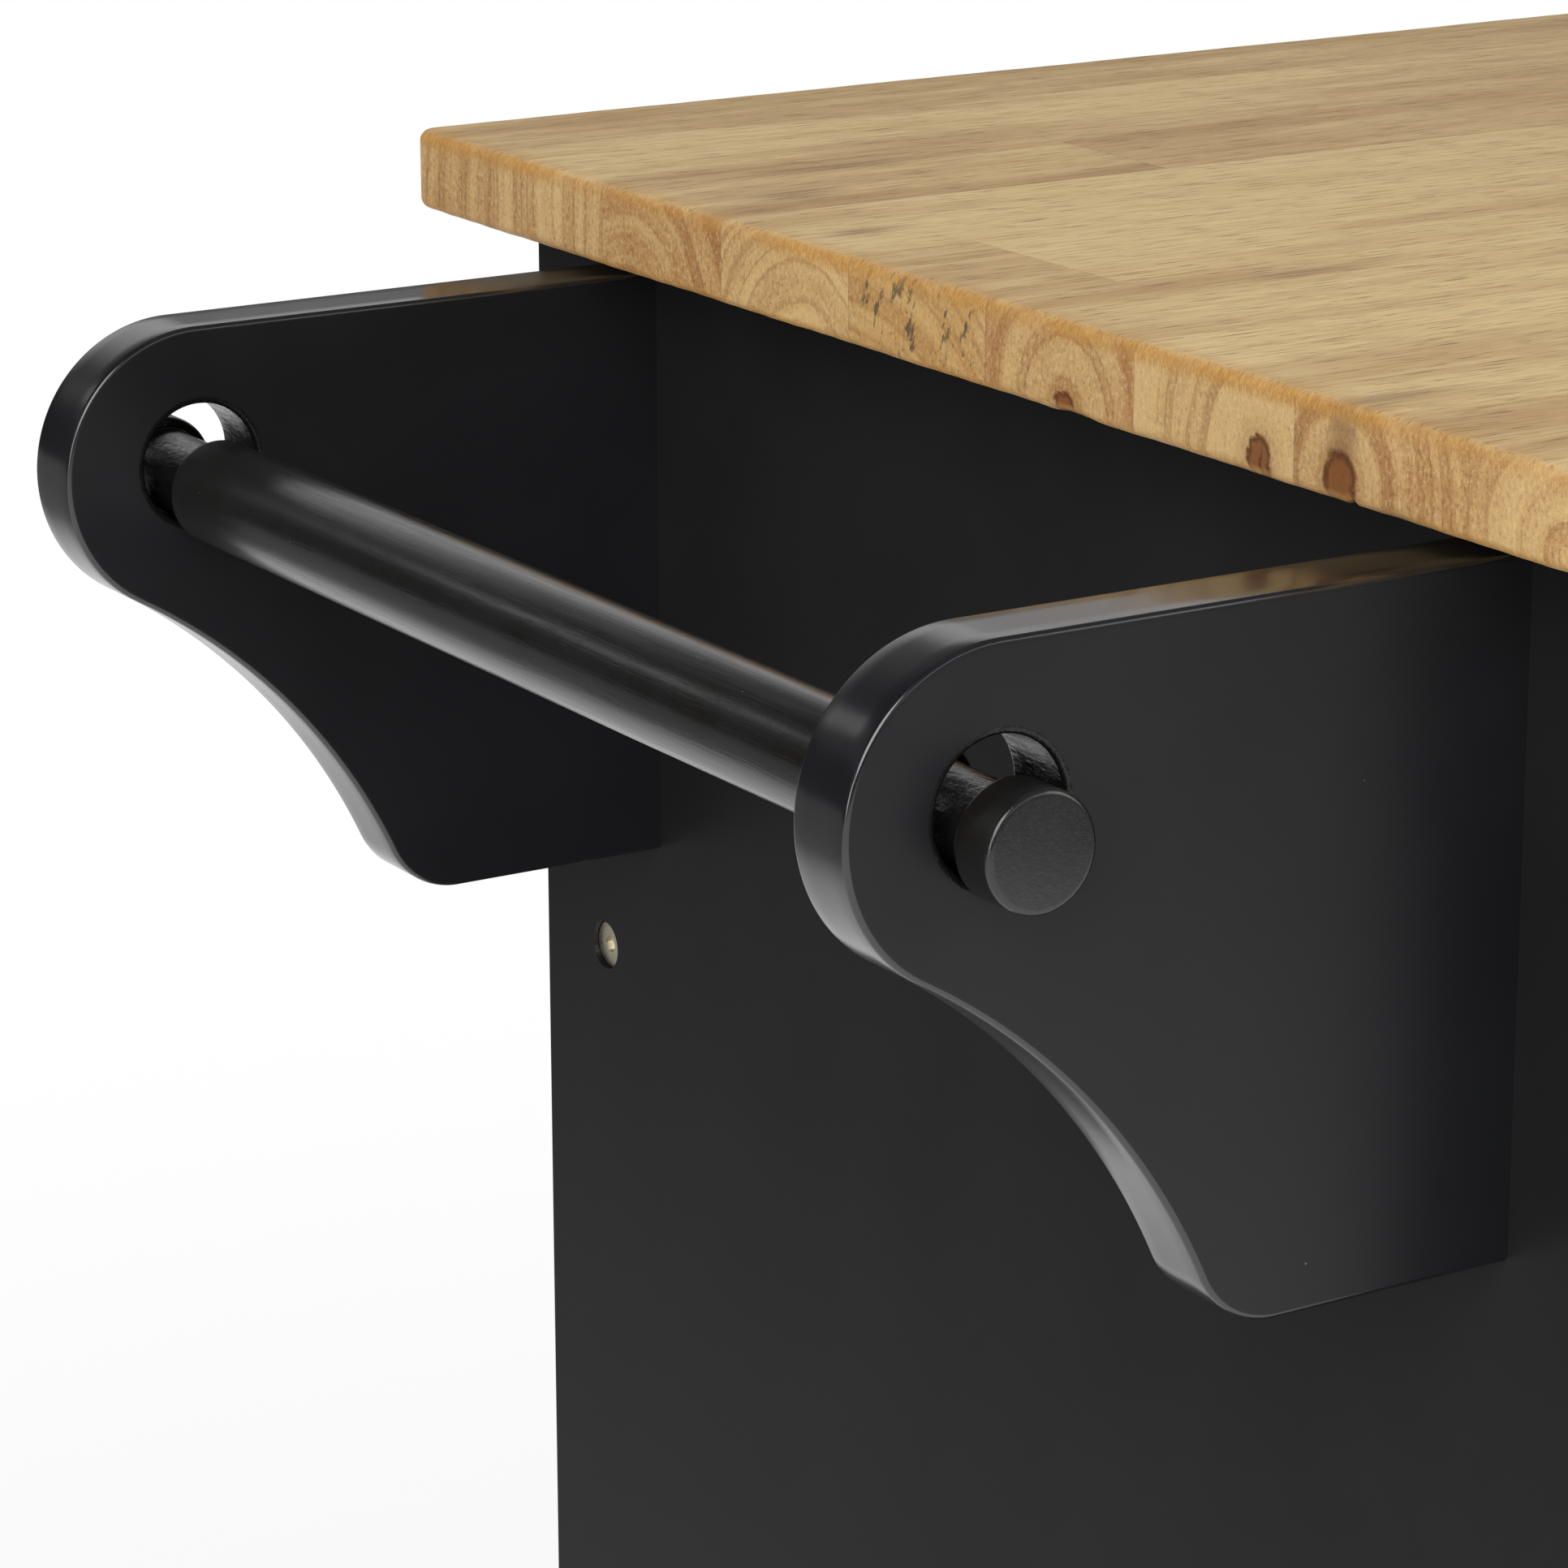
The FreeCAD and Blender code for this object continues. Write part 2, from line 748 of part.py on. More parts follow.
def make_rail(label, x_low, length, z_low, groove_up):
    """A cross piece of a door's frame, with a stub tenon at each end and a grooved edge."""
    body = new_body(label)
    groove_low = s.board / 2 - s.door_panel / 2
    groove_high = s.board / 2 + s.door_panel / 2
    tenon = s.door_groove_depth
    corners = [(0, 0), (length, 0), (length, groove_low), (length + tenon, groove_low)]
    corners += [(length + tenon, groove_high), (length, groove_high), (length, s.board)]
    corners += [(0, s.board), (0, groove_high), (-tenon, groove_high), (-tenon, groove_low)]
    corners += [(0, groove_low)]
    outline = new_sketch(body, "outline", "XY_Plane")
    add_polygon(outline, corners)
    pad(body, outline, s.stile_width)
    groove = new_sketch(body, "groove", "XY_Plane", s.stile_width if groove_up else 0)
    add_rectangle(groove, (-tenon, groove_low), (length + tenon, groove_high))
    cut(body, groove, s.door_groove_depth)
    put(body, x_low, front_face, z_low)
    return keep(body)


def hinge_axis(side):
    """Where a door's hinge axis stands in plan: in the reveal, just proud of the fronts."""
    stand_off = s.barrel_diameter / 2 + s.barrel_gap
    return (room_half - s.reveal / 2) * side, front_face - stand_off


def make_leaf(label, side, low, from_axis, fixed):
    """Half of a lift-off hinge, about its own origin on the hinge axis.

    The fixed half has the lower knuckle and the pin. The door's half drops over the pin.
    from_axis holds the distances from the axis to the leaf's two faces.
    """
    body = new_body(label)
    radius = s.barrel_diameter / 2
    near = radius + s.barrel_gap
    knuckle = (s.hinge_height - s.running_gap) / 2
    start = 0 if fixed else knuckle + s.running_gap
    leaf = new_sketch(body, "leaf", "XY_Plane")
    add_rectangle(leaf, (from_axis[0], near), (from_axis[1], near + s.leaf_depth))
    pad(body, leaf, s.hinge_height)
    barrel = new_sketch(body, "barrel", "XY_Plane", start)
    add_circle(barrel, (0, 0), radius)
    pad(body, barrel, knuckle)
    tab = new_sketch(body, "tab", "XY_Plane", start)
    add_rectangle(tab, (from_axis[0], radius / 2), (from_axis[1], near + s.leaf_plate))
    pad(body, tab, knuckle)
    pin = new_sketch(body, "pin", "XY_Plane")
    if fixed:
        add_circle(pin, (0, 0), s.hinge_pin_diameter / 2)
        pad(body, pin, s.hinge_height)
    else:
        add_circle(pin, (0, 0), s.hinge_pin_diameter / 2 + s.pin_play)
        cut(body, pin)
    put(body, *hinge_axis(side), low)
    return body


def hinge_lows():
    return (door_low + s.hinge_setback, door_high - s.hinge_setback - s.hinge_height)


def make_fixed_hinges():
    """The halves of the hinges on the end panels' inner faces, with their pins."""
    leaves = []
    for side in (LEFT, RIGHT):
        wall = s.reveal / 2 * side
        faces = (wall, wall - s.leaf_plate * side)
        for low in hinge_lows():
            label = f"fixed_leaf_{len(leaves) + 1}"
            leaves.append(make_leaf(label, side, low, faces, fixed=True))
    keep_group("fixed_hinge_leaves", leaves)


def make_door(side):
    """One framed door: grooved stiles and rails about a thin panel, a knob and two leaves."""
    name = f"{NAMES[side]}_door"
    hinge_edge = (room_half - s.reveal) * side
    meeting_edge = s.reveal / 2 * side
    low_x, high_x = sorted((hinge_edge, meeting_edge), key=value_of)
    labels = ("hinge_stile", "lock_stile") if side == LEFT else ("lock_stile", "hinge_stile")
    make_stile(f"{name}_{labels[0]}", low_x, groove_right=True)
    make_stile(f"{name}_{labels[1]}", high_x - s.stile_width, groove_right=False)
    rail_start = low_x + s.stile_width
    rail_length = high_x - low_x - s.stile_width * 2
    make_rail(f"{name}_bottom_rail", rail_start, rail_length, door_low, groove_up=True)
    top_start = door_high - s.stile_width
    make_rail(f"{name}_top_rail", rail_start, rail_length, top_start, groove_up=False)

    hold = s.door_groove_depth - s.panel_play
    panel_near = front_face + s.board / 2 - s.door_panel / 2
    low = (rail_start - hold, panel_near, door_low + s.stile_width - hold)
    high = (rail_start + rail_length + hold, panel_near + s.door_panel, top_start + hold)
    board(f"{name}_panel", low, high)
    pull_x = meeting_edge + s.stile_width / 2 * side
    make_pull(f"{name}_pull", pull_x, door_high - s.door_pull_drop)
    edge = -s.reveal / 2 * side
    faces = (edge, edge + s.leaf_plate * side)
    leaves = []
    for low_z in hinge_lows():
        label = f"{name}_leaf_{len(leaves) + 1}"
        leaves.append(make_leaf(label, side, low_z, faces, fixed=False))
    keep_group(f"{name}_hinge_leaves", leaves)


def make_catches():
    """Two magnet catches under the divider, just behind the doors' meeting stiles."""
    catches = []
    near = front_back + s.running_gap
    for side in (LEFT, RIGHT):
        body = new_body(f"door_catch_{len(catches) + 1}")
        outline = new_sketch(body, "outline", "XY_Plane")
        span = ((s.catch_inset + s.catch_width) * side, s.catch_inset * side)
        low_x, high_x = sorted(span, key=value_of)
        add_rectangle(outline, (0, 0), (high_x - low_x, s.catch_depth))
        pad(body, outline, s.catch_height)
        put(body, low_x, near, divider_low - s.catch_height)
        catches.append(body)
    keep_group("door_catches", catches)


def make_shelf():
    """A loose shelf on two cleats, one on each end panel."""
    low = (s.shelf_play - room_half, front_back + s.shelf_setback, s.shelf_height)
    high = (room_half - s.shelf_play, room_back - s.shelf_play, s.shelf_height + s.board)
    board("shelf", low, high)
    cleats = []
    near = front_back + s.shelf_setback + s.cleat_setback
    for side in (LEFT, RIGHT):
        body = new_body(f"shelf_cleat_{len(cleats) + 1}")
        section = new_sketch(body, "section", "YZ_Plane")
        add_rectangle(section, (near, -s.cleat_height), (room_back, 0))
        pad(body, section, s.cleat_width, backwards=(side == RIGHT))
        put(body, room_half * side, 0, s.shelf_height)
        cleats.append(body)
    keep_group("shelf_cleats", cleats)


def make_caster_plate(label, x, y):
    """A top plate with the ball race and flared kingpin below it. Its origin is its underside."""
    body = new_body(label)
    outline = new_sketch(body, "outline", "XY_Plane")
    half = s.plate_side / 2
    add_rectangle(outline, (-half, -half), (half, half))
    pad(body, outline, s.plate_thickness)
    race_low = -s.race_height
    pin_low = race_low - s.running_gap - s.fork_plate
    flared = s.kingpin_radius + s.kingpin_flare
    corners = [(0, 0), (s.race_radius, 0), (s.race_radius, race_low)]
    corners += [(s.kingpin_radius, race_low), (flared, pin_low), (0, pin_low)]
    profile = new_sketch(body, "profile", "XZ_Plane")
    add_polygon(profile, corners)
    revolve(body, profile, "V_Axis")
    put(body, x, y, panel_low - s.plate_thickness)
    return body


crown_high = s.caster_height - s.plate_thickness - s.race_height - s.running_gap
crown_low = crown_high - s.fork_plate
slot_half = s.wheel_width / 2 + s.wheel_side_gap
fork_half = slot_half + s.fork_plate
pedal_pin_height = crown_low - s.pedal_pin_drop


def make_fork(label, x, y, braked):
    """A pressed fork that trails towards -Y, with its axle. Its origin is under the kingpin."""
    body = new_body(label)
    outline = new_sketch(body, "outline", "YZ_Plane")
    axle = (-s.caster_trail, s.wheel_radius)
    skirt = crown_low - s.fork_skirt
    corners = [(s.fork_front, crown_high), (-s.fork_back, crown_high), (-s.fork_back, skirt)]
    corners += [(axle[0] - s.axle_boss_radius, axle[1]), (axle[0] + s.axle_boss_radius, axle[1])]
    corners += [(s.fork_front, skirt)]
    add_polygon(outline, corners)
    pad(body, outline, fork_half * 2, both_ways=True)
    boss = new_sketch(body, "boss", "YZ_Plane")
    add_circle(boss, axle, s.axle_boss_radius)
    pad(body, boss, fork_half * 2, both_ways=True)
    slot = new_sketch(body, "slot", "XZ_Plane")
    add_rectangle(slot, (-slot_half, 0), (slot_half, crown_low))
    cut(body, slot)
    seat = new_sketch(body, "seat", "XZ_Plane")
    narrow = s.kingpin_radius + s.kingpin_play
    wide = narrow + s.kingpin_flare
    race_low = crown_high + s.running_gap
    add_polygon(seat, [(0, race_low), (narrow, race_low), (wide, crown_low), (0, crown_low)])
    turn_out(body, seat, "V_Axis")
    if braked:
        pivot = new_sketch(body, "pivot", "YZ_Plane")
        place = (-s.pedal_pin_setback, pedal_pin_height)
        add_circle(pivot, place, s.pedal_pin_radius + s.pin_play)
        cut(body, pivot)
    pin = new_sketch(body, "axle", "YZ_Plane")
    add_circle(pin, axle, s.axle_radius)
    pad(body, pin, fork_half * 2, both_ways=True)
    put(body, x, y, 0)
    return keep(body)


def make_wheel(label, x, y):
    """A solid wheel about its own X axis: flat hub, dished sides and a bevelled tread."""
    body = new_body(label)
    bore = s.axle_radius + s.pin_play
    right = [(s.wheel_width / 2, bore), (s.wheel_width / 2, s.hub_radius)]
    right += [(s.rim_width / 2, s.rim_radius), (s.tread_width / 2, s.wheel_radius)]
    left = [(-u, radius) for u, radius in reversed(right)]
    profile = new_sketch(body, "profile", "XY_Plane")
    add_polygon(profile, right + left)
    revolve(body, profile, "H_Axis")
    put(body, x, y - s.caster_trail, s.wheel_radius)
    return keep(body)


def make_pedal(label, x, y):
    """A brake pedal on its cross pin, with a shoe just above the tread. Origin on the pin."""
    body = new_body(label)
    half = s.pedal_plate / 2
    reach, fall = s.pedal_reach, s.pedal_fall
    lever = new_sketch(body, "lever", "YZ_Plane")
    corners = [(0, half), (0, -half), (-reach, -half - fall), (-reach, half - fall)]
    add_polygon(lever, corners)
    pad(body, lever, s.pedal_width, both_ways=True)

    pin_y = s.caster_trail - s.pedal_pin_setback
    pin_z = pedal_pin_height - s.wheel_radius
    shoe_far = pin_y - s.shoe_length * 2
    shoe_near = pin_y - s.shoe_length
    reach_out = s.wheel_radius.value + s.running_gap.value
    tread = math.sqrt(reach_out**2 - shoe_near.value**2)
    shoe_low = tread - pin_z.value
    shoe = new_sketch(body, "shoe", "YZ_Plane")
    tread_text = f"sqrt(pow(sizes.wheel_radius + sizes.running_gap; 2) - pow({shoe_near.text}; 2))"
    low = Size(shoe_low, f"({tread_text} - {pin_z.text})")
    top = -fall * (s.shoe_length / reach)
    corners = [(shoe_near - pin_y, top), (shoe_near - pin_y, low), (shoe_far - pin_y, low)]
    corners += [(shoe_far - pin_y, top * 2)]
    add_polygon(shoe, corners)
    pad(body, shoe, s.pedal_width, both_ways=True)
    pin = new_sketch(body, "pin", "YZ_Plane")
    add_circle(pin, (0, 0), s.pedal_pin_radius)
    pad(body, pin, fork_half * 2, both_ways=True)
    put(body, x, y - s.pedal_pin_setback, pedal_pin_height)
    return keep(body)


def make_casters():
    """Four casters under the bottom panel. The front pair has brakes."""
    plates = []
    for depth_side, row in ((FRONT, "front"), (BACK, "back")):
        for side in (LEFT, RIGHT):
            x = (body_half - s.caster_inset) * side
            y = (back_face - s.caster_inset) * depth_side
            name = f"{row}_{NAMES[side]}"
            plates.append(make_caster_plate(f"{name}_plate", x, y))
            braked = depth_side == FRONT
            make_fork(f"{name}_fork", x, y, braked)
            make_wheel(f"{name}_wheel", x, y)
            if braked:
                make_pedal(f"{name}_brake_pedal", x, y)
    keep_group("caster_plates", plates)


def check_model():
    """Stop before anything is written if a feature failed or a cut removed nothing."""
    for item in doc.Objects:
        if "Invalid" in item.State or "Error" in item.State:
            raise RuntimeError(f"{item.Name} failed: {item.State}")
    for base, feature in cuts:
        if not feature.Shape.Volume < base.Shape.Volume:
            raise RuntimeError(f"{feature.Name} cut nothing")
    wanted = {group.Label: count for group, count in groups}
    for item in sub_parts:
        shape = item.Shape
        if shape.isNull() or not shape.isValid():
            raise RuntimeError(f"{item.Label} has no valid shape")
        if len(shape.Solids) != wanted.get(item.Label, 1):
            raise RuntimeError(f"{item.Label} has {len(shape.Solids)} solids")


def main():
    make_worktop()
    for side in (LEFT, RIGHT):
        make_end_panel(side)
    make_cross_boards()
    make_bolts()
    bracket_middle = (bracket_inside + bracket_outside) / 2
    make_bracket("front_towel_bracket", -bracket_middle)
    make_bracket("back_towel_bracket", bracket_middle)
    make_towel_rod()
    make_runners()
    for side in (LEFT, RIGHT):
        make_drawer(side)
        make_door(side)
    make_fixed_hinges()
    make_catches()
    make_shelf()
    make_casters()
    doc.recompute()
    check_model()
    os.makedirs("parts", exist_ok=True)
    for item in sub_parts:
        item.Shape.exportStep(f"parts/{item.Label}.step")
    print(f"{len(sub_parts)} nodes written")


main()
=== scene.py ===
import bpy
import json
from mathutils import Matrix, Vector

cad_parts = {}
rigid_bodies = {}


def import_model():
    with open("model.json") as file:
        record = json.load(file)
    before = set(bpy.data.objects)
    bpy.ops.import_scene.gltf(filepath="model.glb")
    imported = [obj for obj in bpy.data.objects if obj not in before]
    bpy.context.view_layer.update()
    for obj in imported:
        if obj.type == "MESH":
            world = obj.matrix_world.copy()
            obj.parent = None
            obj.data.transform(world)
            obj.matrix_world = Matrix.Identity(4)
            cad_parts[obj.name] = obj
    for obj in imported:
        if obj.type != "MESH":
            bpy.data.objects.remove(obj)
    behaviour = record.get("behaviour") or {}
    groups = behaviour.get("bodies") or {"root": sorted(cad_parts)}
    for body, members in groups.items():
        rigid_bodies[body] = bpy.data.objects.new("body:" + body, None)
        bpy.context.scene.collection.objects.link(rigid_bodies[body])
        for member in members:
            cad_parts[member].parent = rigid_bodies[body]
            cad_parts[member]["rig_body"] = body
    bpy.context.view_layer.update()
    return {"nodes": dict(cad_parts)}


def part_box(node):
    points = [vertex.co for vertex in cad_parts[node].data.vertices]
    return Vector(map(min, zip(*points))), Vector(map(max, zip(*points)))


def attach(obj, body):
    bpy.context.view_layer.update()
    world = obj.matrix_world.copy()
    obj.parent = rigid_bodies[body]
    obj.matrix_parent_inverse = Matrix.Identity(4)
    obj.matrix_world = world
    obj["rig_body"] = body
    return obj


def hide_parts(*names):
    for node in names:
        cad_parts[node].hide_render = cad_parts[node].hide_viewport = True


bl_info = {
    "name": "Kitchen Island Finish",
    "version": (1, 0, 0),
    "blender": (4, 5, 0),
    "location": "3D View > Sidebar > Island",
    "description": "Finishes a kitchen island with a towel bar: wood, paint, hardware and studio",
    "category": "Object",
}

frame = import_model()

import json
import math

import bmesh
import bpy
import numpy as np
from bpy.props import FloatProperty, FloatVectorProperty, IntProperty, PointerProperty
from mathutils import Matrix, Vector, geometry

# The island stands in metres: X runs along its length away from the towel bar, Y from the doors
# to the back, and Z up from the floor.
MM = 0.001
NODES = frame["nodes"]

TOP_LOW, TOP_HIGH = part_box("worktop")
PANEL_LOW, PANEL_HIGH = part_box("left_end_panel")
WALL = PANEL_LOW.x
MIDDLE_Y = (PANEL_LOW.y + PANEL_HIGH.y) / 2
SIDES = ("left", "right")
CORNERS = [(row, side) for row in ("front", "back") for side in SIDES]


# Settings that a user would change

class WoodSettings(bpy.types.PropertyGroup):
    stave_width: FloatProperty(
        name="Stave width",
        description="Width of one glued stave of the worktop",
        default=54.87 * MM, unit="LENGTH")
    arris: FloatProperty(
        name="Arris",
        description="Radius that is sanded on the worktop's edges",
        default=2.5 * MM, unit="LENGTH")
    corner: FloatProperty(
        name="Corner",
        description="Radius of the worktop's four upright corners",
        default=5 * MM, unit="LENGTH")
    light_tone: FloatVectorProperty(
        name="Light wood", description="Colour of the palest wood along the grain",
        subtype="COLOR", default=(0.76, 0.56, 0.27))
    dark_tone: FloatVectorProperty(
        name="Dark wood", description="Colour of the darker streaks along the grain",
        subtype="COLOR", default=(0.45, 0.26, 0.1))
    light_end: FloatVectorProperty(
        name="Light end grain", description="Colour of the early wood on the sawn ends",
        subtype="COLOR", default=(0.65, 0.43, 0.19))
    dark_end: FloatVectorProperty(
        name="Dark end grain", description="Colour of the late wood on the sawn ends",
        subtype="COLOR", default=(0.37, 0.17, 0.048))


class PaintSettings(bpy.types.PropertyGroup):
    colour: FloatVectorProperty(
        name="Paint", description="Colour of the satin black paint",
        subtype="COLOR", default=(0.0096, 0.0099, 0.0112))
    panel_colour: FloatVectorProperty(
        name="Panel paint", description="Colour of the end panels' flatter paint",
        subtype="COLOR", default=(0.0125, 0.0127, 0.0133))
    rod_colour: FloatVectorProperty(
        name="Rod paint", description="Colour of the rod's glossier paint",
        subtype="COLOR", default=(0.0095, 0.0088, 0.008))
    ease: FloatProperty(
        name="Eased edges", description="Width of the rounding on painted edges",
        default=0.8 * MM, unit="LENGTH")


class HardwareSettings(bpy.types.PropertyGroup):
    screw_radius: FloatProperty(
        name="Screw head", description="Radius of the hardware's small screw heads",
        default=2.6 * MM, unit="LENGTH")
    turned_sides: IntProperty(
        name="Sides of turned pieces", description="Points round each turned piece",
        default=96, min=24)


class StageSettings(bpy.types.PropertyGroup):
    lens: FloatProperty(
        name="Lens", description="Focal length on a 36 mm sensor",
        default=125.13)
    pitch: FloatProperty(
        name="Pitch", description="How far the camera looks down",
        default=0.2844, subtype="ANGLE")
    roll: FloatProperty(
        name="Roll", description="How far the camera leans clockwise",
        default=0.0025, subtype="ANGLE")
    place: FloatVectorProperty(
        name="Camera place", description="Where the camera stands",
        default=(-1.07234, -0.97364, 1.12684), subtype="TRANSLATION", unit="LENGTH")
    heading: FloatVectorProperty(
        name="Heading", description="Direction in plan that the camera faces",
        default=(0.5246, 0.8513), size=2)


class IslandSettings(bpy.types.PropertyGroup):
    wood: PointerProperty(type=WoodSettings)
    paint: PointerProperty(type=PaintSettings)
    hardware: PointerProperty(type=HardwareSettings)
    stage: PointerProperty(type=StageSettings)


def settings():
    return bpy.context.scene.kitchen_island


# Surfaces

def grid_quads(rows, columns, closed_rows=False, closed_columns=True):
    """Quads between neighbouring points of a grid that is stored row by row.

    A closed direction also joins its last points to its first.
    """
    row = np.arange(rows if closed_rows else rows - 1)[:, None]
    column = np.arange(columns if closed_columns else columns - 1)[None, :]
    row_after = (row + 1) % rows
    column_after = (column + 1) % columns
    corners = [
        row * columns + column,
        row * columns + column_after,
        row_after * columns + column_after,
        row_after * columns + column,
    ]
    return np.stack(np.broadcast_arrays(*corners), -1).reshape(-1, 4)


def capped_quads(rows, columns):
    """The quads of a grid that is closed along its rows, with a face over each end row."""
    faces = [list(face) for face in grid_quads(rows, columns)]
    faces.append(list(range(columns))[::-1])
    faces.append(list(range((rows - 1) * columns, rows * columns)))
    return faces


def facing_out(points, faces):
    """The faces of a closed shell, all turned over if its signed volume is negative.

    Six times the volume is the sum of (a x b) . c over the triangles that fan out from each
    face's first corner.
    """
    volume = 0.0
    for face in faces:
        corner = points[np.asarray(face)]
        volume += np.einsum("ij,ij->", np.cross(corner[0], corner[1:-1]), corner[2:])
    if volume < 0:
        return [list(face)[::-1] for face in faces]
    return [list(face) for face in faces]


def new_object(name, data):
    item = bpy.data.objects.new(name, data)
    bpy.context.scene.collection.objects.link(item)
    return item


def add_piece(name, points, faces, finishes, body, stands_for=(), sharp=40):
    """A finished piece at the origin that rides on a body and may stand for carried nodes."""
    mesh = bpy.data.meshes.new(name)
    mesh.from_pydata(points.tolist(), [], faces)
    for finish in finishes:
        mesh.materials.append(finish_named(finish))
    mesh.polygons.foreach_set("use_smooth", np.ones(len(faces), bool))
    mesh.set_sharp_from_angle(angle=math.radians(sharp))
    piece = new_object(name, mesh)
    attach(piece, body)
    if stands_for:
        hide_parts(*stands_for)
    return piece


def rounded_line(corners, ease, steps=6):
    """A line whose inner corners are rounded, as an array of points.

    Each corner gives way to a curve of the second degree: at share t it is (1-t)^2 times the
    point before, plus 2t(1-t) times the corner, plus t^2 times the point after. Those points
    stand an ease away along the two sides, or at most half a side.
    """
    corners = np.asarray(corners, float)
    before, corner, after = corners[:-2], corners[1:-1], corners[2:]
    back = before - corner
    ahead = after - corner
    back_length = np.linalg.norm(back, axis=1, keepdims=True)
    ahead_length = np.linalg.norm(ahead, axis=1, keepdims=True)
    ease = np.broadcast_to(np.asarray(ease, float).reshape(-1, 1), back_length.shape)
    start = corner + back / back_length * np.minimum(ease, back_length / 2)
    end = corner + ahead / ahead_length * np.minimum(ease, ahead_length / 2)
    share = np.linspace(0, 1, steps)[None, :, None]
    curve = (1 - share) ** 2 * start[:, None] + 2 * share * (1 - share) * corner[:, None]
    curve = curve + share**2 * end[:, None]
    return np.vstack([corners[:1], curve.reshape(-1, corners.shape[1]), corners[-1:]])


# The radius at which the profile of a turned solid starts and ends
POLE = 0.2 * MM


def turned(profile, centre, axis, sides):
    """Points of a profile of (radius, place) pairs swept round a line.

    Point (i, j) stands place i along the line and radius i from it, turned by j of the sides.
    """
    along = Vector(axis).normalized()
    across = along.orthogonal().normalized()
    up = along.cross(across)
    turn = np.arange(sides) * (2 * math.pi / sides)
    ring = np.cos(turn)[:, None] * np.array(across) + np.sin(turn)[:, None] * np.array(up)
    radius, place = profile[:, 0], profile[:, 1]
    points = place[:, None, None] * np.array(along) + radius[:, None, None] * ring
    return (points + np.array(centre)).reshape(-1, 3)


def turned_solid(profile, centre, axis, sides):
    """A turned shape that is closed by a flat face at each end of its profile."""
    points = turned(profile, centre, axis, sides)
    return points, facing_out(points, capped_quads(len(profile), sides))


def turned_ring(profile, centre, axis, sides):
    """A turned shape whose profile closes on itself round a bore."""
    points = turned(profile, centre, axis, sides)
    faces = grid_quads(len(profile), sides, closed_rows=True)
    return points, facing_out(points, faces)


def gathered(shells):
    """Several shells as one list of points and one of faces."""
    points, faces, start = [], [], 0
    for shell_points, shell_faces in shells:
        points.append(shell_points)
        faces += [[start + corner for corner in face] for face in shell_faces]
        start += len(shell_points)
    return np.vstack(points), faces


def quarter_turn(steps):
    return np.linspace(0, math.pi / 2, steps)


def edge_profile(thickness, ease, steps=6, rows=2):
    """Inset and height of a board's edge from its low face to its high face.

    Over each rounded edge the inset is ease (1 - sin a) and the height ease (1 - cos a), for a
    from nothing to a quarter turn. Between the two edges the inset is nothing.
    """
    angle = quarter_turn(steps)
    inset = ease * (1 - np.sin(angle))
    height = ease * (1 - np.cos(angle))
    straight = np.linspace(ease, thickness - ease, rows + 2)[1:-1]
    insets = np.concatenate([inset, np.zeros(rows), inset[::-1]])
    heights = np.concatenate([height, straight, thickness - height[::-1]])
    return insets, heights


# How wide the eased edges are: on the boards inside, the drawers' boxes and the brackets as
# shares of the painted ones, and on the forks and the pedals as they are
BOARD_EASE = 0.6
BOX_EASE = 0.5
BRACKET_EASE = 1.4
FORK_EASE = 0.35 * MM
PEDAL_EASE = 0.7 * MM

# Angles between faces: below the first they merge, below the second they shade smoothly, and
# above the third their edge is bevelled
MERGE_ANGLE = math.radians(1)
SMOOTH_ANGLE = math.radians(30)
BEVEL_ANGLE = math.radians(35)


def merged_copy(node, finishes):
    """A carried node's shape that stands for that node, with its flat faces merged."""
    mesh = NODES[node].data.copy()
    shape = bmesh.new()
    shape.from_mesh(mesh)
    bmesh.ops.remove_doubles(shape, verts=shape.verts, dist=0.01 * MM)
    bmesh.ops.dissolve_limit(
        shape, angle_limit=MERGE_ANGLE, verts=shape.verts, edges=shape.edges)
    shape.to_mesh(mesh)
    shape.free()
    mesh.materials.clear()
    for finish in finishes:
        mesh.materials.append(finish_named(finish))
    mesh.shade_flat()
    piece = new_object(f"{node}_eased", mesh)
    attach(piece, NODES[node]["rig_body"])
    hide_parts(node)
    return piece


def eased_copy(node, width, finish):
    """A merged copy of a carried node with its edges bevelled."""
    piece = merged_copy(node, [finish])
    piece.data.shade_smooth()
    piece.data.set_sharp_from_angle(angle=SMOOTH_ANGLE)
    bevel = piece.modifiers.new("eased_edges", "BEVEL")
    bevel.width = width
    bevel.segments = 2
    bevel.limit_method = "ANGLE"
    bevel.angle_limit = BEVEL_ANGLE
    bevel.harden_normals = True


def paint_node(node, finish):
    """Give a carried node its finish on the slots that it has."""
    for slot in NODES[node].material_slots:
        slot.material = finish_named(finish)


# Node trees

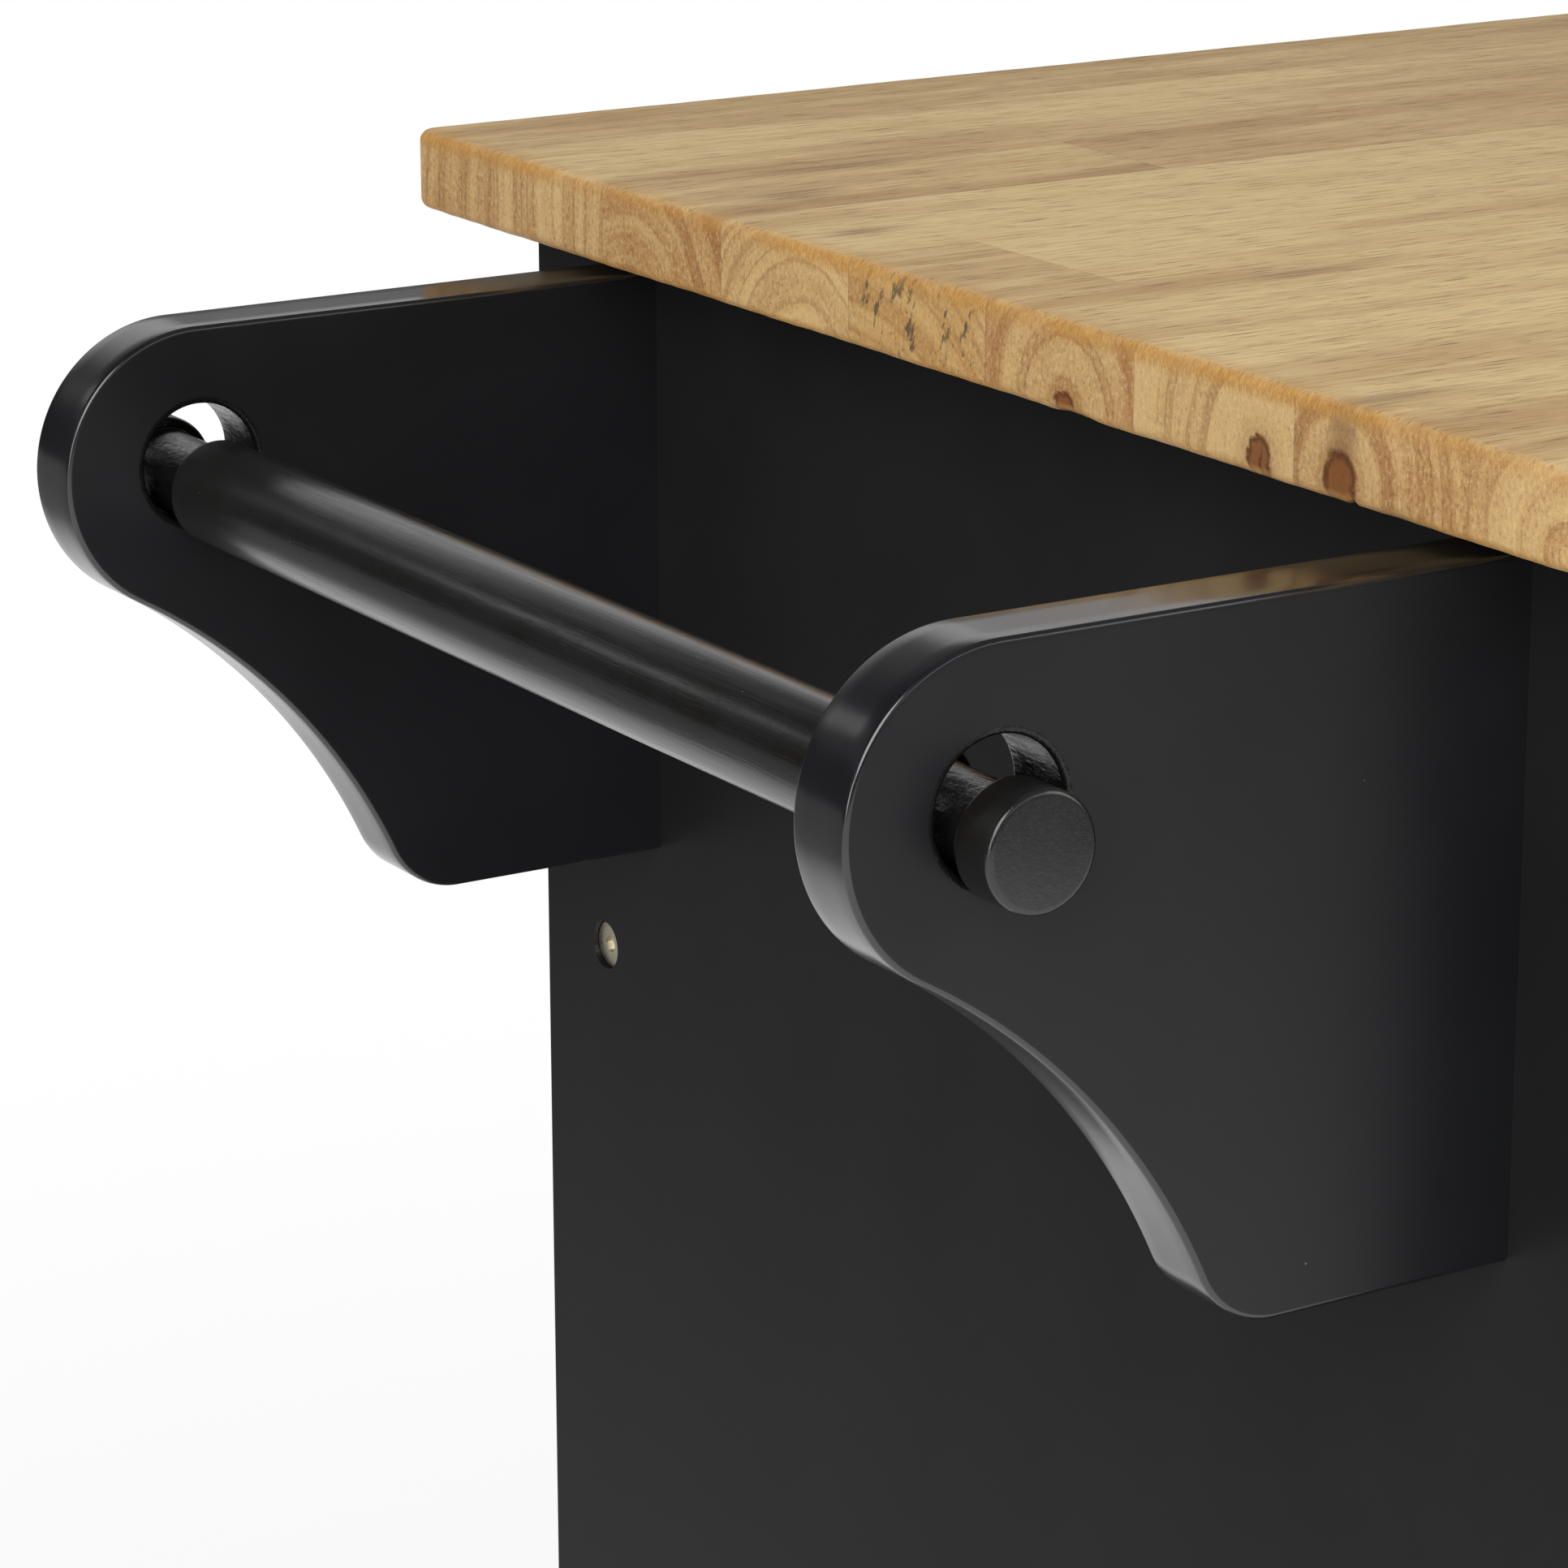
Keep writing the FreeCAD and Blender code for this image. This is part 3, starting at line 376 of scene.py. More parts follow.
class Tree:
    """A node tree, with short ways to add its common nodes."""

    def __init__(self, tree):
        self.tree = tree

    def node(self, kind, values=None, **settings_of_node):
        item = self.tree.nodes.new(kind)
        for name, value in settings_of_node.items():
            setattr(item, name, value)
        for name, value in (values or {}).items():
            self.feed(item.inputs[name], value)
        return item

    def feed(self, socket, value):
        if isinstance(value, bpy.types.NodeSocket):
            self.tree.links.new(value, socket)
        else:
            socket.default_value = value

    def math(self, operation, *values, clamp=False):
        item = self.node("ShaderNodeMath", operation=operation, use_clamp=clamp)
        for socket, value in zip(item.inputs, values):
            self.feed(socket, value)
        return item.outputs[0]

    def plus(self, *values, clamp=False):
        return self.math("ADD", *values, clamp=clamp)

    def less(self, first, second):
        return self.math("SUBTRACT", first, second)

    def times(self, first, second):
        return self.math("MULTIPLY", first, second)

    def over(self, first, second):
        return self.math("DIVIDE", first, second)

    def times_plus(self, *values, clamp=False):
        """The first value times the second, plus the third."""
        return self.math("MULTIPLY_ADD", *values, clamp=clamp)

    def size_of(self, value):
        return self.math("ABSOLUTE", value)

    def vector(self, operation, *values):
        item = self.node("ShaderNodeVectorMath", operation=operation)
        for socket, value in zip(item.inputs, values):
            self.feed(socket, value)
        return item.outputs["Value" if operation in ("LENGTH", "DISTANCE") else "Vector"]

    def rotated(self, vector, turn):
        return self.node("ShaderNodeMapping", {"Vector": vector, "Rotation": turn}).outputs[0]

    def stretched(self, vector, scale):
        return self.vector("MULTIPLY", vector, scale)

    def parts(self, vector):
        return self.node("ShaderNodeSeparateXYZ", {0: vector}).outputs

    def joined(self, x, y, z):
        return self.node("ShaderNodeCombineXYZ", {0: x, 1: y, 2: z}).outputs[0]

    def noise(self, vector, scale=1.0, detail=2.0, roughness=0.5, distortion=0.0):
        values = {"Vector": vector, "Scale": scale, "Detail": detail}
        values["Roughness"] = roughness
        values["Distortion"] = distortion
        return self.node("ShaderNodeTexNoise", values).outputs["Fac"]

    def band(self, value, low, high, to_low=0.0, to_high=1.0, smooth=True):
        """A value carried from one range to another, held at its ends."""
        item = self.node("ShaderNodeMapRange")
        item.interpolation_type = "SMOOTHSTEP" if smooth else "LINEAR"
        for name, number in zip(range(5), (value, low, high, to_low, to_high)):
            self.feed(item.inputs[name], number)
        return item.outputs[0]

    def mix(self, factor, first, second, blend="MIX"):
        item = self.node("ShaderNodeMix", data_type="RGBA", blend_type=blend)
        for index, value in ((0, factor), (6, first), (7, second)):
            self.feed(item.inputs[index], value)
        return item.outputs[2]

    def tinted(self, under, tint, mask, share):
        """A colour with a tint laid over it where a mask says, up to a share."""
        return self.mix(self.times(mask, share), under, tint)

    def blend(self, factor, first, second):
        item = self.node("ShaderNodeMix", data_type="FLOAT")
        for index, value in ((0, factor), (2, first), (3, second)):
            self.feed(item.inputs[index], value)
        return item.outputs[0]

    def group(self, name, values):
        group = self.node("ShaderNodeGroup", node_tree=bpy.data.node_groups[name])
        for label, value in values.items():
            self.feed(group.inputs[label], value)
        return group.outputs

    def bump(self, height, strength, distance=0.1 * MM, normal=None):
        values = {"Height": height, "Strength": strength, "Distance": distance}
        if normal is not None:
            values["Normal"] = normal
        return self.node("ShaderNodeBump", values).outputs["Normal"]


def new_group(name, inputs, outputs):
    """An empty shader node group with its sockets, and its first and last node."""
    group = bpy.data.node_groups.new(name, "ShaderNodeTree")
    for label, kind, default in inputs:
        socket = group.interface.new_socket(
            label, in_out="INPUT", socket_type=f"NodeSocket{kind}")
        if default is not None:
            socket.default_value = default
    for label, kind in outputs:
        group.interface.new_socket(label, in_out="OUTPUT", socket_type=f"NodeSocket{kind}")
    tree = Tree(group)
    given = tree.node("NodeGroupInput").outputs
    result = tree.node("NodeGroupOutput").inputs
    return tree, given, result


def place_in_mm(tree, vector, origin=(0, 0, 0)):
    """Object coordinates from a chosen origin, in millimetres."""
    moved = tree.vector("SUBTRACT", vector, tuple(origin))
    return tree.stretched(moved, (1 / MM, 1 / MM, 1 / MM))


def new_finish(name):
    """A material with a Principled shader, its tree and its coordinates."""
    material = bpy.data.materials.new(f"{name}_finish")
    material.use_nodes = True
    tree = Tree(material.node_tree)
    shader = material.node_tree.nodes["Principled BSDF"]
    coordinates = tree.node("ShaderNodeTexCoord").outputs
    return material, tree, shader, coordinates


def new_skin(name):
    """A new finish with the place in millimetres instead of the coordinates."""
    material, tree, shader, coordinates = new_finish(name)
    return material, tree, shader, place_in_mm(tree, coordinates["Object"])


def set_look(tree, shader, colour, roughness, normal, specular=0.5):
    """Give a Principled shader its colour, roughness, normal and share of reflection."""
    tree.feed(shader.inputs["Base Color"], colour)
    tree.feed(shader.inputs["Roughness"], roughness)
    tree.feed(shader.inputs["Normal"], normal)
    shader.inputs["Specular IOR Level"].default_value = specular


def grey(value):
    return (value, value, value, 1)


def rgba(colour, level=1):
    return (*(channel * level for channel in colour), 1)


# Turns that lay a grain along X down the Y axis, or lean the end's stain
ALONG_Y = (0, 0, -math.pi / 2)
STAIN_LEAN = (math.radians(-25), 0, 0)


# Effects that several finishes share

# How fine each noise of the grain is, per millimetre: along the grain and twice across it
STREAK_GRAIN = (0.008, 0.085, 0.085)
PATCH_GRAIN = (0.0045, 0.028, 0.028)
LINE_GRAIN = (0.02, 0.75, 0.75)
PORE_GRAIN = (0.07, 1.5, 1.5)
SWAY_GRAIN = (0.006, 0.035, 0.035)
CLOUD_GRAIN = (0.004, 0.1, 0.1)
DRAWN_GRAIN = (0.12, 5.0, 5.0)


def build_long_grain():
    """Streaks, fine lines and open pores that run along one direction of the wood.

    The place is in millimetres with the grain along its X. Streaks come from noise that is
    drawn out ten times along the grain, over wider patches of the same kind, and pores from
    finer noise above a threshold.
    """
    tree, given, result = new_group(
        "long_grain",
        [("Place", "Vector", None), ("Pore Level", "Float", 0.575)],
        [("Streaks", "Float"), ("Lines", "Float"), ("Pores", "Float")])
    place = given["Place"]
    broad = tree.noise(tree.stretched(place, STREAK_GRAIN), detail=4, roughness=0.6)
    patch = tree.noise(tree.stretched(place, PATCH_GRAIN), detail=2)
    fine = tree.noise(tree.stretched(place, LINE_GRAIN), detail=4, roughness=0.65)
    pores = tree.noise(tree.stretched(place, PORE_GRAIN), detail=2, roughness=0.6)
    high = tree.plus(given["Pore Level"], 0.08)
    patches = tree.times(tree.band(patch, 0.36, 0.64), 0.45)
    streaks = tree.times_plus(tree.band(broad, 0.36, 0.66), 0.55, patches)
    tree.feed(result["Streaks"], streaks)
    tree.feed(result["Lines"], tree.band(fine, 0.32, 0.7))
    tree.feed(result["Pores"], tree.band(pores, given["Pore Level"], high))


def build_rings():
    """Growth rings about a pith that runs along X.

    Place is in millimetres. A ring is read from noise along the distance to the pith, so that
    the bands differ in width and strength. A thin line marks where a band starts.
    """
    tree, given, result = new_group(
        "growth_rings",
        [("Place", "Vector", None), ("Pith", "Vector", None), ("Seed", "Float", 0.0)],
        [("Bands", "Float"), ("Lines", "Float")])
    offset = tree.vector("SUBTRACT", given["Place"], given["Pith"])
    flat = tree.stretched(offset, (0, 1, 1))
    sway = tree.noise(tree.stretched(given["Place"], SWAY_GRAIN), detail=2)
    sway = tree.times(tree.less(sway, 0.5), 5.0)
    distance = tree.plus(tree.vector("LENGTH", flat), sway)
    broad_place = tree.joined(tree.times(distance, 0.17), given["Seed"], 0.0)
    broad = tree.noise(broad_place, detail=1.0)
    fine_place = tree.joined(tree.times(distance, 0.75), given["Seed"], 9.0)
    fine = tree.noise(fine_place, detail=2.0, roughness=0.6)
    start = tree.band(broad, 0.53, 0.55)
    fade = tree.band(broad, 0.55, 0.64, 1.0, 0.0)
    cloud = tree.noise(tree.stretched(given["Place"], CLOUD_GRAIN), detail=4, roughness=0.65)
    bands = tree.times(tree.band(fine, 0.33, 0.7), 0.24)
    bands = tree.times_plus(tree.band(broad, 0.3, 0.7), 0.45, bands)
    bands = tree.times_plus(tree.band(cloud, 0.32, 0.68), 0.25, bands)
    tree.feed(result["Bands"], bands)
    tree.feed(result["Lines"], tree.times(start, fade))


def build_spot():
    """A soft oval mark: one within its size about its centre, and nothing outside it."""
    tree, given, result = new_group(
        "oval_mark",
        [("Place", "Vector", None), ("Centre", "Vector", None), ("Size", "Vector", None),
         ("Softness", "Float", 0.3)],
        [("Mark", "Float"), ("Rim", "Float")])
    offset = tree.vector("SUBTRACT", given["Place"], given["Centre"])
    ratio = tree.vector("LENGTH", tree.vector("DIVIDE", offset, given["Size"]))
    low = tree.less(1.0, given["Softness"])
    high = tree.plus(1.0, given["Softness"])
    mark = tree.band(ratio, low, high, 1.0, 0.0)
    inner = tree.band(ratio, 0.62, 0.92)
    tree.feed(result["Mark"], mark)
    tree.feed(result["Rim"], tree.times(mark, inner))


def build_paint_skin():
    """The skin of a sprayed coat: its ripple, its mottle and specks of dust in it.

    Place is in millimetres. Specks are the cores of scattered cells, of which a random few stay.
    """
    tree, given, result = new_group(
        "paint_skin",
        [("Place", "Vector", None), ("Dust", "Float", 0.5)],
        [("Ripple", "Float"), ("Mottle", "Float"), ("Specks", "Float")])
    place = given["Place"]
    ripple = tree.noise(place, scale=0.55, detail=3, roughness=0.55)
    mottle = tree.noise(place, scale=0.018, detail=3, roughness=0.6)
    values = {"Vector": place, "Scale": 0.085, "Randomness": 1.0}
    cells = tree.node("ShaderNodeTexVoronoi", values, feature="F1")
    kept = tree.node("ShaderNodeSeparateColor", {0: cells.outputs["Color"]}).outputs
    chosen = tree.math("GREATER_THAN", given["Dust"], kept[0])
    size = tree.band(kept[1], 0.0, 1.0, 0.012, 0.03, smooth=False)
    core = tree.math("LESS_THAN", cells.outputs["Distance"], size)
    tree.feed(result["Ripple"], ripple)
    tree.feed(result["Mottle"], tree.band(mottle, 0.3, 0.7))
    tree.feed(result["Specks"], tree.times(chosen, core))


def build_metal_skin():
    """Fine drawn lines and cloudy stains of plated sheet, with the lines along the place's X."""
    tree, given, result = new_group(
        "metal_skin",
        [("Place", "Vector", None)],
        [("Lines", "Float"), ("Clouds", "Float")])
    lines = tree.noise(tree.stretched(given["Place"], DRAWN_GRAIN), detail=3)
    clouds = tree.noise(given["Place"], scale=0.12, detail=4, roughness=0.6)
    tree.feed(result["Lines"], tree.band(lines, 0.3, 0.7))
    tree.feed(result["Clouds"], tree.band(clouds, 0.3, 0.7))


# How the worktop is glued up, seen from its end by the towel bar. For each stave from the front
# edge to the back: the pith across the stave and above the underside, and the first butt joint
# from the end, all in millimetres, and how dark its first block is
STAVES = (
    (-2.2, 3.2, 310, 0.22),
    (12.0, 4.4, 455, 0.55),
    (-16.1, 3.7, 190, 0.16),
    (-2.3, 1.8, 405, 0.42),
    (26.0, -44.0, 34, 0.52),
    (-8.5, -13.4, 270, 0.10),
    (15.3, -11.6, 126, 0.74),
    (-160.0, 6.0, 380, 0.34),
    (-175.0, 4.0, 215, 0.55),
)
BLOCK_LENGTH = 505
PITH_SPAN = 400

# Between which places in millimetres the piths of the later blocks lie, across and in height.
# Then how much a pith drifts and a stave's grain leans per millimetre, over what lengths the
# blocks' grain and rings are spread in their noises, and how wide a glue line shows
LATER_PITH_ACROSS = (-70, 70)
LATER_PITH_HEIGHT = (-60, -4)
PITH_DRIFT = 0.05
GRAIN_LEAN = 0.09
GRAIN_SPAN = 900.0
RING_SPAN = 40.0
GLUE_WIDTH = 0.3

# Marks in the end grain: depth from the middle and height above the underside, in millimetres,
# then the size each way
END_KNOTS = (
    ((-57.2, 1.8), (3.6, 3.2)),
    ((-125.7, 3.7), (3.9, 5.0)),
    ((-152.2, 4.4), (5.2, 6.0)),
)
# The darker wood that rises above the last knot, and the cracks in the last two
END_SHADE = ((-152.8, 14.0), (4.2, 9.5))
END_CRACKS = (
    ((-126.4, 1.6), (0.35, 4.2)),
    ((-155.3, 1.2), (0.6, 2.6)),
)
# Smudges on the top: distance from the end and depth from the middle, in millimetres
TOP_SMUDGES = (
    ((31.0, 100.0), (11.0, 5.0)),
    ((19.0, 52.0), (9.0, 4.0)),
    ((74.0, -42.0), (14.0, 3.0)),
    ((60.0, 128.0), (16.0, 4.0)),
)


def build_stave_layout():
    """Which stave and block a place lies in, and how far it is from the glue lines.

    Place is in millimetres from the worktop's end, middle and underside. A stave's number is
    the whole part of depth over width, and a block's number the whole part of length over block.
    """
    width = settings().wood.stave_width / MM
    tree, given, result = new_group(
        "stave_layout",
        [("Place", "Vector", None)],
        [("Local", "Vector"), ("Pith", "Vector"), ("Glue", "Float"), ("Tone", "Float"),
         ("Seed", "Float")])
    along, depth, height = tree.parts(given["Place"])
    count = tree.plus(tree.over(depth, width), 0.5)
    number = tree.math("FLOOR", count)
    share = tree.math("FRACT", count)
    across = tree.times(tree.less(share, 0.5), width)

    table = tree.node("ShaderNodeValToRGB")
    table.color_ramp.interpolation = "CONSTANT"
    points = table.color_ramp.elements
    total = len(STAVES)
    while len(points) < total:
        points.new(0.99)
    for index, (pith_across, pith_high, joint, tone) in enumerate(STAVES):
        points[index].position = index / total
        shares = (pith_across / PITH_SPAN + 0.5, pith_high / PITH_SPAN + 0.5, joint / BLOCK_LENGTH)
        points[index].color = (*shares, tone)
    key = tree.over(tree.plus(number, total / 2), total)
    tree.feed(table.inputs[0], key)
    stored = tree.node("ShaderNodeSeparateColor", {0: table.outputs["Color"]}).outputs

    blocks = tree.over(along, BLOCK_LENGTH)
    blocks = tree.plus(tree.less(blocks, stored[2]), 1.0)
    block = tree.math("FLOOR", blocks)
    cell = tree.joined(number, block, 0.37)
    random = tree.node("ShaderNodeTexWhiteNoise", {"Vector": cell}).outputs["Color"]
    chance = tree.node("ShaderNodeSeparateColor", {0: random}).outputs
    later = tree.math("GREATER_THAN", block, 0.5)
    half = PITH_SPAN / 2
    first_y = tree.band(stored[0], 0, 1, -half, half, smooth=False)
    first_z = tree.band(stored[1], 0, 1, -half, half, smooth=False)
    other_y = tree.band(chance[0], 0, 1, *LATER_PITH_ACROSS, smooth=False)
    other_z = tree.band(chance[1], 0, 1, *LATER_PITH_HEIGHT, smooth=False)
    drift = tree.times(tree.less(chance[2], 0.5), PITH_DRIFT)
    drift = tree.times(along, drift)
    pith_y = tree.plus(tree.blend(later, first_y, other_y), drift)
    pith_z = tree.plus(tree.blend(later, first_z, other_z), drift)

    def from_edge(part, length):
        """How far a share of a length is from the nearer end of it."""
        inside = tree.size_of(tree.less(part, 0.5))
        return tree.times(tree.less(0.5, inside), length)

    butt = from_edge(tree.math("FRACT", blocks), BLOCK_LENGTH)
    nearest = tree.math("MINIMUM", from_edge(share, width), butt)
    shift = tree.times(chance[2], GRAIN_SPAN)
    slope = tree.times(tree.less(chance[0], 0.5), GRAIN_LEAN)
    lean = tree.times(along, slope)
    local = tree.joined(tree.plus(along, shift), tree.plus(across, lean), height)
    tree.feed(result["Local"], local)
    tree.feed(result["Pith"], tree.joined(0.0, tree.plus(pith_y, lean), pith_z))
    tree.feed(result["Glue"], tree.band(nearest, 0.0, GLUE_WIDTH, 1.0, 0.0))
    tree.feed(result["Tone"], tree.blend(later, table.outputs["Alpha"], chance[1]))
    tree.feed(result["Seed"], tree.times(chance[0], RING_SPAN))


def build_groups():
    build_long_grain()
    build_rings()
    build_spot()
    build_paint_skin()
    build_metal_skin()
    build_stave_layout()


# Finishes

# Tints that are laid over the wood
GRAIN_LINE = (0.36, 0.21, 0.085, 1)
OPEN_PORE = (0.16, 0.08, 0.033, 1)
RING_LINE = (0.3, 0.13, 0.045, 1)
RED_EDGE = (0.37, 0.15, 0.05, 1)
DARK_FLECK = (0.2, 0.09, 0.035, 1)
PALE_FLECK = (0.82, 0.62, 0.34, 1)
YELLOWED = (0.56, 0.33, 0.1, 1)
BLUE_STAIN = (0.085, 0.07, 0.042, 1)
KNOT_SHADE = (0.17, 0.09, 0.045, 1)
KNOT_HALO = (0.3, 0.135, 0.045, 1)
KNOT_HEART = (0.21, 0.072, 0.016, 1)
KNOT_RIM = (0.07, 0.02, 0.008, 1)
END_CRACK = (0.05, 0.02, 0.01, 1)
SMUDGE = (0.25, 0.13, 0.055, 1)
SANDED_LIGHT = (0.62, 0.35, 0.09, 1)
SANDED_DARK = (0.44, 0.2, 0.045, 1)
GLUE_LINE = (0.2, 0.11, 0.05, 1)

# How far before the worktop's middle the stave with red edges has its own middle, where its
# sides stand from that, and between which distances the red sets in, in millimetres
RED_STAVE_AHEAD = 54.5
RED_STAVE_REACH = 27.3
RED_SETS_IN = (18.5, 26.5)


def top_wood(tree, grain, rings, tone):
    """The colour along the grain: streaks with fine lines and open pores."""
    wood = settings().wood
    streaks = tree.times_plus(tone, 0.55, -0.5)
    streaks = tree.times_plus(rings["Bands"], 0.3, streaks)
    streaks = tree.times_plus(grain["Streaks"], 0.85, streaks)
    held = tree.plus(streaks, 0.0, clamp=True)
    top = tree.mix(held, rgba(wood.light_tone), rgba(wood.dark_tone))
    top = tree.tinted(top, GRAIN_LINE, grain["Lines"], 0.26)
    return tree.tinted(top, OPEN_PORE, grain["Pores"], 0.65)


def end_wood(tree, place, rings, tone):
    """The colour of the sawn ends, and the mask of their dark flecks.

    Rings carry dark and pale flecks. One stave has red edges, and the middle one blue stain.
    """
    wood = settings().wood
    depth = tree.parts(place)[1]
    end_tone = tree.times_plus(tone, 0.85, -0.46)
    end_tone = tree.times_plus(rings["Bands"], 0.95, end_tone)
    held = tree.plus(end_tone, 0.0, clamp=True)
    sawn = tree.mix(held, rgba(wood.light_end), rgba(wood.dark_end))
    sawn = tree.tinted(sawn, RING_LINE, rings["Lines"], 0.42)

    away = tree.size_of(tree.plus(depth, RED_STAVE_AHEAD))
    within = tree.math("LESS_THAN", away, RED_STAVE_REACH)
    red_edge = tree.times(tree.band(away, *RED_SETS_IN), within)
    sawn = tree.tinted(sawn, RED_EDGE, red_edge, 0.5)

    speckle = tree.noise(tree.stretched(place, (0.2, 0.95, 0.7)), detail=2, roughness=0.75)
    flecks = tree.band(speckle, 0.55, 0.63)
    dense = tree.times_plus(end_tone, 0.5, 0.15, clamp=True)
    sawn = tree.tinted(sawn, DARK_FLECK, flecks, dense)
    sawn = tree.tinted(sawn, PALE_FLECK, tree.band(speckle, 0.37, 0.44, 1.0, 0.0), 0.3)

    drawn_out = tree.stretched(tree.rotated(place, STAIN_LEAN), (0.1, 0.26, 0.12))
    stain = tree.noise(drawn_out, detail=3, roughness=0.72)
    middle_stave = tree.band(tree.size_of(depth), 20.0, 27.4, 1.0, 0.0)
    sawn = tree.tinted(sawn, YELLOWED, middle_stave, 0.3)
    stain = tree.times(tree.band(stain, 0.545, 0.64), middle_stave)
    return tree.tinted(sawn, BLUE_STAIN, stain, 0.82), flecks


def with_marks(tree, colour, place, grain):
    """The wood with its knots, the shade over one, two cracks and the smudges on top."""
    bend = tree.noise(place, scale=0.45, detail=3, roughness=0.6)
    bend = tree.times(tree.less(bend, 0.5), 3.0)
    uneven = tree.vector("ADD", place, tree.joined(0.0, bend, bend))

    def mark(centre, size, softness):
        values = {"Place": uneven, "Centre": centre, "Size": size, "Softness": softness}
        return tree.group("oval_mark", values)

    shade_centre, shade_size = END_SHADE
    shade = mark((0, *shade_centre), (30, *shade_size), 0.6)["Mark"]
    colour = tree.tinted(colour, KNOT_SHADE, shade, 0.5)
    for centre, (wide, tall) in END_KNOTS:
        knot = mark((0, *centre), (26, wide, tall), 0.16)
        halo = mark((0, *centre), (28, wide * 1.7, tall * 1.6), 0.5)["Mark"]
        colour = tree.tinted(colour, KNOT_HALO, halo, 0.3)
        colour = tree.tinted(colour, KNOT_HEART, knot["Mark"], 0.9)
        colour = tree.tinted(colour, KNOT_RIM, knot["Rim"], 0.75)
    for centre, size in END_CRACKS:
        crack = mark((0, *centre), (14, *size), 0.5)["Mark"]
        colour = tree.tinted(colour, END_CRACK, crack, 0.8)
    top_face = (TOP_HIGH.z - TOP_LOW.z) / MM
    for centre, size in TOP_SMUDGES:
        smudge = mark((*centre, top_face), (*size, 3), 0.8)["Mark"]
        streaky = tree.band(grain["Lines"], 0.0, 0.8, 0.25, 0.75)
        colour = tree.tinted(colour, SMUDGE, smudge, streaky)
    return colour


def with_sanded_edges(tree, colour, place, facing, hairs):
    """The wood with the golden, fuzzy band that sanding leaves along the edges of the end."""
    along, _, height = tree.parts(place)
    arris = tree.node("ShaderNodeAttribute", attribute_name="arris").outputs["Fac"]
    near_end = tree.band(along, 2.0, 8.0, 0.45, 0.0)
    near_end = tree.times(near_end, tree.band(facing, 0.1, 0.5, 1.0, 0.0))
    ragged = tree.band(tree.times_plus(hairs, 7.0, height), 18.5, 21.5)
    below = tree.times(ragged, tree.band(facing, 0.4, 0.7))
    sanded = tree.math("MAXIMUM", tree.math("MAXIMUM", arris, near_end), below)
    patchy = tree.noise(tree.stretched(place, (0.02, 0.028, 0.02)), detail=2)
    worn = tree.times(sanded, tree.band(patchy, 0.36, 0.6, 0.25, 0.78))
    return tree.mix(worn, colour, tree.mix(tree.band(hairs, 0.35, 0.62), SANDED_LIGHT, SANDED_DARK))


def make_rubberwood():
    """Oiled rubberwood staves: growth rings on the sawn ends, drawn out along the top."""
    material, tree, shader, coordinates = new_finish("rubberwood")
    origin = (TOP_LOW.x, (TOP_LOW.y + TOP_HIGH.y) / 2, TOP_LOW.z)
    place = place_in_mm(tree, coordinates["Object"], origin)
    layout = tree.group("stave_layout", {"Place": place})
    rings = tree.group("growth_rings", {
        "Place": layout["Local"], "Pith": layout["Pith"], "Seed": layout["Seed"]})
    grain = tree.group("long_grain", {"Place": layout["Local"]})
    facing = tree.size_of(tree.parts(coordinates["Normal"])[0])
    end = tree.band(facing, 0.55, 0.9)
    hairs = tree.noise(tree.stretched(place, (0.5, 2.2, 0.5)), detail=3, roughness=0.7)

    sawn, flecks = end_wood(tree, place, rings, layout["Tone"])
    colour = tree.mix(end, top_wood(tree, grain, rings, layout["Tone"]), sawn)
    colour = with_marks(tree, colour, place, grain)
    colour = with_sanded_edges(tree, colour, place, facing, hairs)
    colour = tree.tinted(colour, GLUE_LINE, layout["Glue"], 0.3)

    bump = tree.times_plus(grain["Lines"], 0.4, tree.times(hairs, 0.8))
    bump = tree.less(bump, tree.times(grain["Pores"], 1.2))
    bump = tree.less(bump, tree.times(tree.times(flecks, end), 1.2))
    bump = tree.less(bump, tree.times(layout["Glue"], 0.8))
    roughness = tree.band(grain["Lines"], 0, 1, 0.42, 0.56)
    set_look(tree, shader, colour, roughness, tree.bump(bump, 0.6, 0.08 * MM), 0.22)
    return material


def make_paint(name, colour, specular, smooth, rough):
    """Satin black paint with a faint ripple, cloudy mottle and a little dust."""
    material, tree, shader, place = new_skin(name)
    skin = tree.group("paint_skin", {"Place": place, "Dust": 0.35})
    base = tree.mix(skin["Mottle"], rgba(colour), rgba(colour, 1.2))
    base = tree.tinted(base, grey(0.4), skin["Specks"], 0.5)
    roughness = tree.band(skin["Mottle"], 0, 1, smooth, rough)
    height = tree.plus(skin["Ripple"], skin["Specks"])
    set_look(tree, shader, base, roughness, tree.bump(height, 0.2, 0.04 * MM), specular)
    return material


def make_flooded_paint():
    """Paint that has run into a bore and over a neck: glossy, thick and rough as poured."""
    material, tree, shader, place = new_skin("flooded_paint")
    skin = tree.group("paint_skin", {"Place": tree.stretched(place, (1.4, 0.5, 1.4)), "Dust": 0.6})
    waves = tree.noise(tree.stretched(place, (0.5, 0.16, 0.5)), detail=4, roughness=0.65)
    base = tree.mix(skin["Mottle"], grey(0.005), grey(0.009))
    roughness = tree.band(waves, 0.3, 0.7, 0.16, 0.3)
    height = tree.times_plus(waves, 4.0, skin["Ripple"])
    set_look(tree, shader, base, roughness, tree.bump(height, 0.5, 0.14 * MM), 0.45)
    return material


